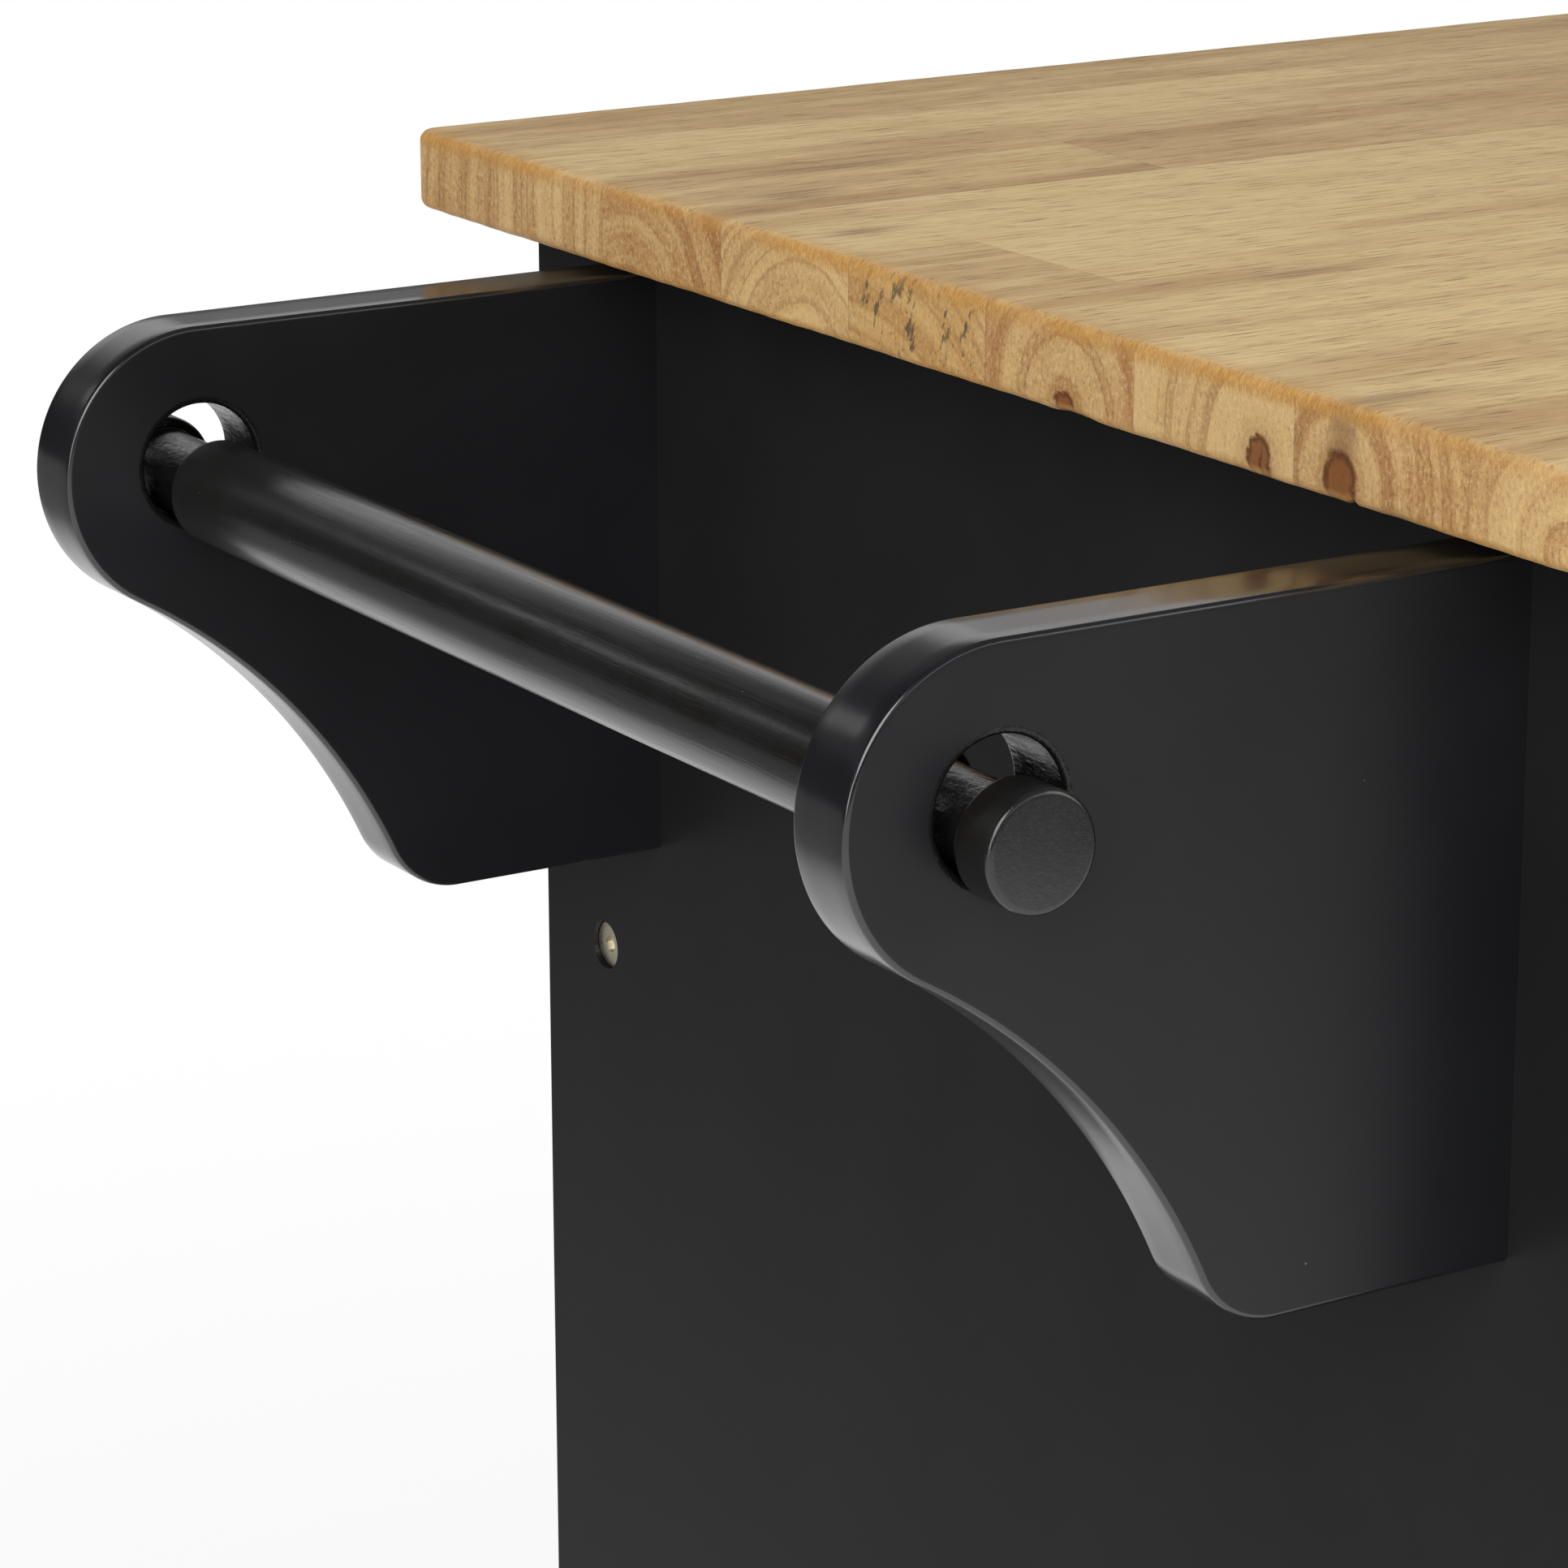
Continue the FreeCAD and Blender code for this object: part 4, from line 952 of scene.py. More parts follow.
def make_rod_paint():
    """Glossier paint on a turned rod, with the wood's raised grain under it along Y."""
    material, tree, shader, place = new_skin("rod_paint")
    grain = tree.group("long_grain", {"Place": tree.rotated(place, ALONG_Y), "Pore Level": 0.56})
    skin = tree.group("paint_skin", {"Place": tree.stretched(place, (2.2, 2.2, 2.2)), "Dust": 0.8})
    base = tree.mix(skin["Mottle"], rgba(settings().paint.rod_colour), grey(0.013))
    base = tree.tinted(base, grey(0.35), skin["Specks"], 0.4)
    roughness = tree.band(grain["Lines"], 0, 1, 0.2, 0.26)
    height = tree.times_plus(grain["Lines"], 0.5, skin["Ripple"])
    height = tree.times_plus(skin["Specks"], 2.0, height)
    height = tree.less(height, tree.times(grain["Pores"], 0.7))
    set_look(tree, shader, base, roughness, tree.bump(height, 0.3, 0.06 * MM), 0.8)
    return material


# Birch plywood: its palest and darkest streaks, fine lines and glue, and a ply's thickness in mm
PALE_BIRCH = (0.62, 0.45, 0.26, 1)
DARK_BIRCH = (0.50, 0.33, 0.17, 1)
BIRCH_LINE = (0.42, 0.26, 0.12, 1)
PLY_GLUE = (0.30, 0.17, 0.08, 1)
PLY_THICKNESS = 1.5


def make_drawer_ply():
    """Lacquered birch plywood: long grain on its faces and dark glue lines in its plies."""
    material, tree, shader, coordinates = new_finish("drawer_ply")
    place = place_in_mm(tree, coordinates["Object"])
    grain = tree.group("long_grain", {"Place": tree.rotated(place, ALONG_Y)})
    upward = tree.size_of(tree.parts(coordinates["Normal"])[2])
    ply_share = tree.math("FRACT", tree.over(tree.parts(place)[0], PLY_THICKNESS))
    plies = tree.times(tree.band(ply_share, 0.4, 0.6), tree.band(upward, 0.5, 0.9))
    colour = tree.mix(grain["Streaks"], PALE_BIRCH, DARK_BIRCH)
    colour = tree.tinted(colour, BIRCH_LINE, grain["Lines"], 0.35)
    colour = tree.tinted(colour, PLY_GLUE, plies, 0.5)
    roughness = tree.band(grain["Lines"], 0, 1, 0.4, 0.52)
    set_look(tree, shader, colour, roughness, tree.bump(grain["Lines"], 0.3, 0.04 * MM))
    return material


def make_metal(name, low, high, smooth, rough):
    """Plated metal between two tints, cloudy and finely drawn."""
    material, tree, shader, place = new_skin(name)
    skin = tree.group("metal_skin", {"Place": place})
    base = tree.mix(skin["Clouds"], rgba(low), rgba(high))
    roughness = tree.band(skin["Lines"], 0, 1, smooth, rough)
    set_look(tree, shader, base, roughness, tree.bump(skin["Lines"], 0.25, 0.02 * MM))
    shader.inputs["Metallic"].default_value = 1.0
    return material


def make_runner_coat():
    """White epoxy on pressed steel, with a fine powder texture."""
    material, tree, shader, place = new_skin("runner_steel")
    skin = tree.group("paint_skin", {"Place": place, "Dust": 0.1})
    base = tree.mix(skin["Mottle"], (0.74, 0.74, 0.72, 1), (0.68, 0.68, 0.65, 1))
    roughness = tree.band(skin["Mottle"], 0, 1, 0.38, 0.46)
    set_look(tree, shader, base, roughness, tree.bump(skin["Ripple"], 0.3, 0.04 * MM))
    return material


def make_moulded(name, colour, smooth, depth):
    """Moulded plastic or rubber with a fine even grain and cloudy wear."""
    material, tree, shader, place = new_skin(name)
    skin = tree.group("paint_skin", {"Place": tree.stretched(place, (3, 3, 3)), "Dust": 0.3})
    base = tree.mix(skin["Mottle"], rgba(colour), rgba(colour, 1.5))
    roughness = tree.band(skin["Ripple"], 0.2, 0.8, smooth, smooth + 0.12)
    set_look(tree, shader, base, roughness, tree.bump(skin["Ripple"], depth, 0.05 * MM))
    return material


# For a paint its share of reflection and the ends of its roughness, for a metal its two tints and
# the same, and for a moulded piece its colour, its least roughness and the depth of its grain
MAKERS = {
    "rubberwood": make_rubberwood,
    "rod_paint": make_rod_paint,
    "flooded_paint": make_flooded_paint,
    "drawer_ply": make_drawer_ply,
    "runner_steel": make_runner_coat,
    "black_paint": lambda: make_paint(
        "black_paint", settings().paint.colour, 0.45, 0.34, 0.37),
    "edge_paint": lambda: make_paint(
        "edge_paint", settings().paint.colour, 1.0, 0.16, 0.22),
    "panel_paint": lambda: make_paint(
        "panel_paint", settings().paint.panel_colour, 0.08, 0.45, 0.47),
    "zinc_steel": lambda: make_metal(
        "zinc_steel", (0.66, 0.60, 0.44), (0.74, 0.70, 0.58), 0.26, 0.42),
    "nickel": lambda: make_metal(
        "nickel", (0.58, 0.56, 0.52), (0.66, 0.64, 0.60), 0.2, 0.32),
    "white_nylon": lambda: make_moulded("white_nylon", (0.62, 0.62, 0.6), 0.4, 0.2),
    "black_plastic": lambda: make_moulded("black_plastic", (0.012, 0.012, 0.013), 0.42, 0.5),
    "wheel_rubber": lambda: make_moulded("wheel_rubber", (0.02, 0.02, 0.02), 0.55, 0.4),
    "wheel_core": lambda: make_moulded("wheel_core", (0.16, 0.16, 0.165), 0.4, 0.3),
}


def finish_named(name):
    return bpy.data.materials.get(f"{name}_finish") or MAKERS[name]()


# Worktop

# Dents in the lower edge of the end: depth from the middle, width and depth of each
EDGE_DENTS = (
    (-155.3 * MM, 0.9 * MM, 1.7 * MM),
    (-62.0 * MM, 3.5 * MM, 0.5 * MM),
    (-57.0 * MM, 3.0 * MM, 0.4 * MM),
)
# How high above the underside the dents die away
DENT_RISE = 2.4 * MM

# How many steps the worktop's sides have, and how its rounding sways along them: the angle per
# metre of X and of Y, and then the share, the waves and the start of each sine
SIDE_STEPS = (160, 280, 900, 280)
SWAY_ANGLE = np.array([31.0, 47.0])
SWAY_SINES = ((0.07, 2, 0), (0.05, 5, 1), (0.04, 13, 0))


def rounded_rectangle(low, high, radius, steps):
    """Points and outward directions round a rectangle with round corners, anticlockwise.

    Each side is a row of even steps, with its own count, and each corner a quarter circle.
    """
    centres = [(high[0], low[1]), (high[0], high[1]), (low[0], high[1]), (low[0], low[1])]
    inward = np.array([(-1, 1), (-1, -1), (1, -1), (1, 1)]) * radius
    centres = np.array(centres) + inward
    points, normals = [], []
    for index, count in enumerate(steps):
        start_angle = (index - 1) * math.pi / 2
        angle = start_angle + quarter_turn(9)
        direction = np.stack([np.cos(angle), np.sin(angle)], 1)
        arc = centres[index] + radius * direction
        following = centres[(index + 1) % 4] + radius * direction[-1]
        share = np.linspace(0, 1, count + 1)[1:-1, None]
        run = arc[-1] * (1 - share) + following * share
        points += [arc, run]
        normals += [direction, np.repeat(direction[-1:], len(run), 0)]
    return np.vstack(points), np.vstack(normals)


def worktop_surface():
    """The worktop's points, faces and arris mask.

    The outline is carried over a rounded edge profile. Its rounding swells and shrinks by a
    few per cent along the outline, as the sum of three sines, where it was sanded by hand. Each
    dent in the lower edge is a bell, the exponential of minus the squared distance, and goes
    half as far in as it goes up.
    """
    wood = settings().wood
    low, high = (TOP_LOW.x, TOP_LOW.y), (TOP_HIGH.x, TOP_HIGH.y)
    outline, outward = rounded_rectangle(low, high, wood.corner, SIDE_STEPS)
    thickness = TOP_HIGH.z - TOP_LOW.z
    run = outline @ SWAY_ANGLE
    sway = sum((share * np.sin(run * waves + start) for share, waves, start in SWAY_SINES), 1)
    angle = quarter_turn(8)
    bend = 1 - np.cos(angle)
    drop = 1 - np.sin(angle)
    arris = wood.arris * sway
    low_rows = np.stack([arris * share for share in bend])
    low_insets = np.stack([arris * share for share in drop])
    side_share = np.linspace(0, 1, 9)[1:-1, None]
    side = arris * (1 - side_share) + (thickness - arris) * side_share
    z = np.vstack([low_rows, side, thickness - low_rows[::-1]]) + TOP_LOW.z
    inset = np.vstack([low_insets, np.zeros_like(side), low_insets[::-1]])
    flat = outline[None] - outward[None] * inset[..., None]
    points = np.concatenate([flat, z[..., None]], -1)
    near_end = points[..., 0] < TOP_LOW.x + wood.corner
    rise = np.exp(-((points[..., 2] - TOP_LOW.z) / DENT_RISE) ** 2) * near_end
    for place, width, deep in EDGE_DENTS:
        away = (points[..., 1] - MIDDLE_Y - place) / width
        dent = deep * np.exp(-(away**2)) * rise
        points[..., 0] += dent * 0.5
        points[..., 2] += dent
    mask = np.sin(np.linspace(0, math.pi, len(angle)))
    column = np.concatenate([mask, np.zeros(len(side)), mask[::-1]])
    rows, columns = z.shape
    points = points.reshape(-1, 3)
    faces = facing_out(points, capped_quads(rows, columns))
    return points, faces, np.repeat(column, columns)


class ISLAND_OT_worktop(bpy.types.Operator):
    """Make the edge-glued worktop with its sanded arrises"""

    bl_idname = "island.worktop"
    bl_label = "Worktop"

    def execute(self, context):
        points, faces, mask = worktop_surface()
        piece = add_piece(
            "worktop_board", points, faces, ["rubberwood"], "cabinet",
            stands_for=["worktop"], sharp=35)
        attribute = piece.data.attributes.new("arris", "FLOAT", "POINT")
        attribute.data.foreach_set("value", mask.astype(np.float32))
        return {"FINISHED"}


# Towel bar

# A bracket: its hole's distance from the wall, drop from the top and radius, then the radii of
# its nose, hollow and heel, and how far the sole runs out from the wall
HOLE_DISTANCE = 124.5 * MM
HOLE_DROP = 33 * MM
HOLE_RADIUS = 14.5 * MM
NOSE_RADIUS = 34.5 * MM
HOLLOW_RADIUS = 160 * MM
HEEL_RADIUS = 20 * MM
HEEL_FLAT = 58 * MM

# How far the rows in a bracket's flat faces stand in from its rounded edges
FACE_MARGIN = 0.5 * MM

# The rod: how deep its necks are cut, how long its knobs are, how far its shoulders stand
# inside the brackets' inner faces, and the rounding of its rims
NECK_CUT = 2.75 * MM
KNOB_LENGTH = 12 * MM
SHOULDER_CLEARANCE = 8 * MM
ROD_RIM = 1.6 * MM

# A face of the rod has the flooded paint of its necks where both its rims lie this far under
# the full radius, and where it lies this far inside the rod's ends
FLOODED_UNDER = 1 * MM
FLOODED_INSIDE = 3 * MM


def arc(centre, radius, start, end, steps):
    """Points and radial directions along an arc between two angles."""
    angle = np.linspace(start, end, steps)
    direction = np.stack([np.cos(angle), np.sin(angle)], 1)
    return np.array(centre) + radius * direction, direction


def bracket_outline(top, low):
    """The bracket's outline from its top corner at the wall round to its lower one.

    It runs straight to the nose circle, round it, along the hollow circle that touches nose
    and heel from outside, round the heel and straight back. The hollow's centre stands its
    radius plus each circle's radius from their two centres.
    """
    nose = np.array([WALL - HOLE_DISTANCE, top - NOSE_RADIUS])
    heel = np.array([WALL - HEEL_FLAT, low + HEEL_RADIUS])
    across = heel - nose
    span = np.linalg.norm(across)
    from_nose = NOSE_RADIUS + HOLLOW_RADIUS
    from_heel = HEEL_RADIUS + HOLLOW_RADIUS
    along = (from_nose**2 - from_heel**2 + span**2) / (2 * span)
    aside = math.sqrt(from_nose**2 - along**2)
    unit = across / span
    hollow = nose + unit * along + np.array([unit[1], -unit[0]]) * aside
    to_nose = math.atan2(*(nose - hollow)[::-1])
    to_heel = math.atan2(*(heel - hollow)[::-1])
    nose_end = 2 * math.pi + math.atan2(*(hollow - nose)[::-1])
    heel_start = 2 * math.pi + math.atan2(*(hollow - heel)[::-1])
    share = np.linspace(0, 1, 24)[:-1, None]
    top_run = np.array([WALL, top]) * (1 - share) + np.array([nose[0], top]) * share
    sole_run = np.array([heel[0], low]) * share + np.array([WALL, low]) * (1 - share)
    pieces = [
        (top_run, np.repeat([[0.0, 1.0]], len(top_run), 0)),
        arc(nose, NOSE_RADIUS, math.pi / 2, nose_end, 60),
        arc(hollow, HOLLOW_RADIUS, to_nose, to_heel, 60),
        arc(heel, HEEL_RADIUS, heel_start, 1.5 * math.pi, 40),
        (sole_run[::-1], np.repeat([[0.0, -1.0]], len(sole_run), 0)),
    ]
    hollow_points, hollow_directions = pieces[2]
    pieces[2] = (hollow_points[1:-1], -hollow_directions[1:-1])
    points = np.vstack([item[0] for item in pieces])
    normals = np.vstack([item[1] for item in pieces])
    return points, normals


def bracket_surface(node):
    """A bracket board: its outline and hole carried over rounded edges, and two flat faces.

    The first and last rows lie in the flat faces, so that these keep their own shading. The
    third result is each face's finish: 0 on the flat faces, 1 on the edge and 2 in the hole.
    """
    ease = settings().paint.ease * BRACKET_EASE
    low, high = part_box(node)
    thickness = high.y - low.y
    outline, outward = bracket_outline(high.z, low.z)
    insets, heights = edge_profile(thickness, ease, 6, rows=3)
    insets = np.concatenate([insets[:1] + FACE_MARGIN, insets, insets[-1:] + FACE_MARGIN])
    heights = np.concatenate([heights[:1], heights, heights[-1:]])

    def carried(line, outward):
        """A line's rows over the edge profile, each set in along the outward directions."""
        flat = line[None] - outward[None] * insets[:, None, None]
        depth = np.broadcast_to(low.y + heights[:, None], flat.shape[:2])
        return np.stack([flat[..., 0], depth, flat[..., 1]], -1)

    band = carried(outline, outward)
    at_wall = np.abs(outline[:, 0] - WALL) < 0.001 * MM
    band[..., 0] = np.where(at_wall, WALL, band[..., 0])
    centre = np.array([WALL - HOLE_DISTANCE, high.z - HOLE_DROP])
    circle, radial = arc(centre, HOLE_RADIUS, 0, 2 * math.pi, 97)
    bore = carried(circle[:-1], -radial[:-1])

    rows, columns = band.shape[:2]
    bore_columns = bore.shape[1]
    band_faces = grid_quads(rows, columns, closed_columns=False)
    start = rows * columns
    bore_faces = grid_quads(rows, bore_columns)[:, ::-1] + start
    faces = [list(face) for face in band_faces] + [list(face) for face in bore_faces]
    for row in (0, rows - 1):
        outer = list(range(row * columns, (row + 1) * columns))
        inner = list(range(start + row * bore_columns, start + (row + 1) * bore_columns))
        loops = [[Vector(p) for p in band[row]], [Vector(p) for p in bore[row]]]
        chosen = outer + inner
        for triangle in geometry.tessellate_polygon(loops):
            faces.append([chosen[corner] for corner in triangle])
    wall_face = [row * columns for row in range(rows)]
    wall_face += [row * columns + columns - 1 for row in range(rows)][::-1]
    faces.append(wall_face)
    points = np.vstack([band.reshape(-1, 3), bore.reshape(-1, 3)])
    finish = np.zeros(len(faces), int)
    finish[columns - 1:len(band_faces) - columns + 1] = 1
    finish[len(band_faces):len(band_faces) + len(bore_faces)] = 2
    return points, faces, finish


def share_finishes(piece, finish):
    """Give each face the piece's finish of that number."""
    piece.data.polygons.foreach_set("material_index", np.asarray(finish, np.int32))


def consistent(piece):
    """Turn every face of a closed piece outwards."""
    shape = bmesh.new()
    shape.from_mesh(piece.data)
    bmesh.ops.recalc_face_normals(shape, faces=shape.faces)
    shape.to_mesh(piece.data)
    shape.free()


def rod_profile():
    """Radius and place of the towel rod along its length, with its rims rounded.

    The rod is full in the middle and at its two knobs, and drops to a neck in each bracket.
    """
    low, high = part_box("towel_rod")
    full = (high.x - low.x) / 2
    neck = full - NECK_CUT
    half = (high.y - low.y) / 2
    knob = half - KNOB_LENGTH
    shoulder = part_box("back_towel_bracket")[0].y - (low.y + high.y) / 2 - SHOULDER_CLEARANCE
    ahead = [(full, shoulder), (neck, shoulder), (neck, knob), (full, knob), (full, half)]
    ahead.append((POLE, half))
    line = [(radius, -place) for radius, place in reversed(ahead)] + ahead
    return rounded_line(line, ROD_RIM, 7)


class ISLAND_OT_towel_bar(bpy.types.Operator):
    """Make the two painted brackets and the turned towel rod"""

    bl_idname = "island.towel_bar"
    bl_label = "Towel bar"

    def execute(self, context):
        for row in ("front", "back"):
            node = f"{row}_towel_bracket"
            points, faces, finish = bracket_surface(node)
            finishes = ("black_paint", "edge_paint", "flooded_paint")
            piece = add_piece(
                f"{node}_board", points, faces, finishes, "cabinet",
                stands_for=[node], sharp=30)
            share_finishes(piece, finish)
            consistent(piece)
        low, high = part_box("towel_rod")
        sides = settings().hardware.turned_sides
        profile = rod_profile()
        points, faces = turned_solid(profile, (low + high) / 2, (0, 1, 0), sides)
        finishes = ("rod_paint", "flooded_paint")
        piece = add_piece(
            "towel_rod_turned", points, faces, finishes, "towel_rod",
            stands_for=["towel_rod"])
        full = (high.x - low.x) / 2
        thin = np.maximum(profile[:-1, 0], profile[1:, 0]) < full - FLOODED_UNDER
        between = np.abs(profile[:-1, 1]) < (high.y - low.y) / 2 - FLOODED_INSIDE
        on_neck = np.repeat(thin & between, sides)
        share_finishes(piece, np.concatenate([on_neck, [False, False]]))
        return {"FINISHED"}


# Cabinet

# How far along X, at least, the normal of an end panel's large faces points
LARGE_FACE = 0.9


class ISLAND_OT_cabinet(bpy.types.Operator):
    """Paint the end panels, cross boards and back, and plate the bolts"""

    bl_idname = "island.cabinet"
    bl_label = "Cabinet"

    def execute(self, context):
        ease = settings().paint.ease
        for side in SIDES:
            self.end_panel(f"{side}_end_panel")
        boards = ("bottom_panel", "divider_panel", "drawer_partition", "front_top_rail",
                  "back_top_rail", "back_panel", "shelf")
        for node in boards:
            eased_copy(node, ease * BOARD_EASE, "black_paint")
        paint_node("shelf_cleats", "black_paint")
        paint_node("assembly_bolts", "zinc_steel")
        paint_node("door_catches", "black_plastic")
        return {"FINISHED"}

    def end_panel(self, node):
        """An end panel with flatter paint on its two large faces than on its edges."""
        piece = merged_copy(node, ("panel_paint", "black_paint"))
        normals = np.empty(len(piece.data.polygons) * 3, np.float32)
        piece.data.polygons.foreach_get("normal", normals)
        share_finishes(piece, np.abs(normals[::3]) < LARGE_FACE)


class ISLAND_OT_drawers(bpy.types.Operator):
    """Paint the drawer fronts, lacquer the boxes and coat the slides"""

    bl_idname = "island.drawers"
    bl_label = "Drawers"

    def execute(self, context):
        ease = settings().paint.ease
        for side in SIDES:
            eased_copy(f"{side}_drawer_front", ease, "black_paint")
            for part in ("inner_side", "outer_side", "back"):
                eased_copy(f"{side}_drawer_{part}", ease * BOX_EASE, "drawer_ply")
            paint_node(f"{side}_drawer_bottom", "drawer_ply")
            paint_node(f"{side}_drawer_slides", "runner_steel")
        paint_node("drawer_runners", "runner_steel")
        return {"FINISHED"}


class ISLAND_OT_doors(bpy.types.Operator):
    """Paint the framed doors"""

    bl_idname = "island.doors"
    bl_label = "Doors"

    def execute(self, context):
        ease = settings().paint.ease
        for side in SIDES:
            for part in ("hinge_stile", "lock_stile", "bottom_rail", "top_rail"):
                eased_copy(f"{side}_door_{part}", ease, "black_paint")
            paint_node(f"{side}_door_panel", "black_paint")
            paint_node(f"{side}_door_hinge_leaves", "nickel")
        paint_node("fixed_hinge_leaves", "nickel")
        return {"FINISHED"}


# A pull's profile from its foot to the crown: radius as a share of the head's, and place as a
# share of its reach. Then how far its corners are rounded
PULL_PROFILE = (
    (0.47, 0.0), (0.36, 0.2), (0.33, 0.44), (0.99, 0.62), (1.0, 0.78), (0.72, 1.0),
)
PULL_ROUNDING = 4 * MM


class ISLAND_OT_pulls(bpy.types.Operator):
    """Turn the four knobs of the drawers and doors"""

    bl_idname = "island.pulls"
    bl_label = "Pulls"

    def execute(self, context):
        sides = settings().hardware.turned_sides
        for side in SIDES:
            for kind in ("drawer", "door"):
                node = f"{side}_{kind}_pull"
                low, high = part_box(node)
                base = Vector(((low.x + high.x) / 2, high.y, (low.z + high.z) / 2))
                head = (high.x - low.x) / 2
                reach = high.y - low.y
                line = [(head * radius, reach * place) for radius, place in PULL_PROFILE]
                profile = rounded_line([(POLE, 0), *line, (POLE, reach)], PULL_ROUNDING, 8)
                profile[:, 0] = np.minimum(profile[:, 0], head)
                points, faces = turned_solid(profile, base, (0, -1, 0), sides)
                add_piece(
                    f"{node}_turned", points, faces, ["nickel"], f"{side}_{kind}",
                    stands_for=[node], sharp=50)
        return {"FINISHED"}


# Small hardware

# A screw's head: its points round each ring, and as shares of its radius its rings and half the
# width and the reach of its cross. As shares of its rise, how far its dome falls to the rim and
# how deep the cross is
SCREW_SIDES = 24
SCREW_RINGS = np.array([0.12, 0.3, 0.5, 0.62, 0.82, 1.0])
CROSS_HALF = 0.14
CROSS_REACH = 0.6
DOME_FALL = 0.55
CROSS_DEPTH = 0.7

# Where the three screws of a hinge's leaf stand along it, as shares of its height, and the
# leaf's height and thickness. Then how far they stand from its back edge and rise above it
LEAF_SCREWS = (0.16, 0.5, 0.84)
LEAF_HEIGHT = 60 * MM
LEAF_THICKNESS = 0.8 * MM
LEAF_SCREW_LINE = 7 * MM
LEAF_SCREW_RISE = 0.45 * MM

# A roller of a slide: its radius and width, its height above the runner's foot, and how far it
# stands in from the slide's side and from the end. Then the outer half of its profile as shares
# of its radius and of half its width, and its rounding
ROLLER_RADIUS = 8.4 * MM
ROLLER_WIDTH = 4.4 * MM
ROLLER_HEIGHT = 11.4 * MM
ROLLER_SIDE = 5.6 * MM
ROLLER_END = 10 * MM
ROLLER_PROFILE = ((1, 1), (0.55, 1), (0.45, 0.6))
ROLLER_ROUNDING = 0.8 * MM


def screw_heads(places, axis, radius, rise):
    """Domed cross-head screws at several places, all facing one way.

    Over the head, height is rise times (1 - fall times share squared), less a dent where the
    place lies in an arm of the cross. The rings run from the middle to the rim and then under
    the head.
    """
    out = Vector(axis).normalized()
    across = out.orthogonal().normalized()
    up = out.cross(across)
    share = SCREW_RINGS[:, None]
    turn = (np.arange(SCREW_SIDES) * (2 * math.pi / SCREW_SIDES))[None, :]
    u = share * np.cos(turn)
    v = share * np.sin(turn)
    beside = np.minimum(np.abs(u), np.abs(v))
    out_along = np.maximum(np.abs(u), np.abs(v))
    arm = (beside < CROSS_HALF) & (out_along < CROSS_REACH)
    height = rise * (1 - DOME_FALL * share**2) - rise * CROSS_DEPTH * arm
    u = np.vstack([u, u[-1:]])
    v = np.vstack([v, v[-1:]])
    height = np.vstack([height, np.zeros((1, SCREW_SIDES))])
    local = u[..., None] * np.array(across) + v[..., None] * np.array(up)
    local = local * radius + height[..., None] * np.array(out)
    shells = []
    for place in places:
        points = (local + np.array(place)).reshape(-1, 3)
        shells.append((points, facing_out(points, capped_quads(len(u), SCREW_SIDES))))
    return gathered(shells)


def rollers(places):
    """Nylon rollers on cross pins, each a rounded disc with a hollow about its axle."""
    half = ROLLER_WIDTH / 2
    line = [(ROLLER_RADIUS * across, half * place) for across, place in ROLLER_PROFILE]
    line.append((POLE, line[-1][1]))
    line = [(radius, -place) for radius, place in reversed(line)] + line
    profile = rounded_line(line, ROLLER_ROUNDING, 4)
    return gathered([turned_solid(profile, place, (1, 0, 0), 40) for place in places])


class ISLAND_OT_fittings(bpy.types.Operator):
    """Add the screws of the hinges and the rollers of the drawer slides"""

    bl_idname = "island.fittings"
    bl_label = "Small fittings"

    def execute(self, context):
        radius = settings().hardware.screw_radius
        for side in SIDES:
            self.hinge_screws(side, radius)
            self.slide_fittings(side)
        return {"FINISHED"}

    def hinge_screws(self, side, radius):
        """Three screws in each leaf that is fixed to the end panel."""
        toward_room = 1 if side == "left" else -1
        leaf_low, leaf_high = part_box(f"{side}_door_hinge_leaves")
        panel_low, panel_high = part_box(f"{side}_end_panel")
        wall = panel_high.x if side == "left" else panel_low.x
        x = wall + (LEAF_THICKNESS - LEAF_SCREW_RISE) * toward_room
        y = leaf_high.y - LEAF_SCREW_LINE
        starts = (leaf_low.z, leaf_high.z - LEAF_HEIGHT)
        places = [(x, y, start + LEAF_HEIGHT * share) for start in starts for share in LEAF_SCREWS]
        points, faces = screw_heads(places, (toward_room, 0, 0), radius * 0.8, LEAF_SCREW_RISE)
        add_piece(f"{side}_fixed_hinge_screws", points, faces, ["nickel"],
                  "cabinet")

    def slide_fittings(self, side):
        """A roller at the front of each runner and at the back of each slide."""
        low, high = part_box(f"{side}_drawer_slides")
        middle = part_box("drawer_runners")[0].z + ROLLER_HEIGHT
        for kind, y, body in (("runner", low.y + ROLLER_END, "cabinet"),
                              ("slide", high.y - ROLLER_END, f"{side}_drawer")):
            points, faces = rollers([(low.x + ROLLER_SIDE, y, middle),
                                     (high.x - ROLLER_SIDE, y, middle)])
            add_piece(f"{side}_{kind}_rollers", points, faces, ["white_nylon"], body)


# Casters

# In millimetres, the outer half of a wheel's core and of its tyre: radius, and how far each
# point stands in from the wheel's side. The tyre's last point lies on its tread
CORE_PROFILE = ((3.06, 0.0), (8.6, 0.0), (10.0, 2.6), (19.5, 3.6), (22.4, 2.1), (24.4, 2.3))
TYRE_PROFILE = ((24.2, 2.5), (26.2, 2.2), (29.0, 3.6))
TREAD_INSET = 6.5

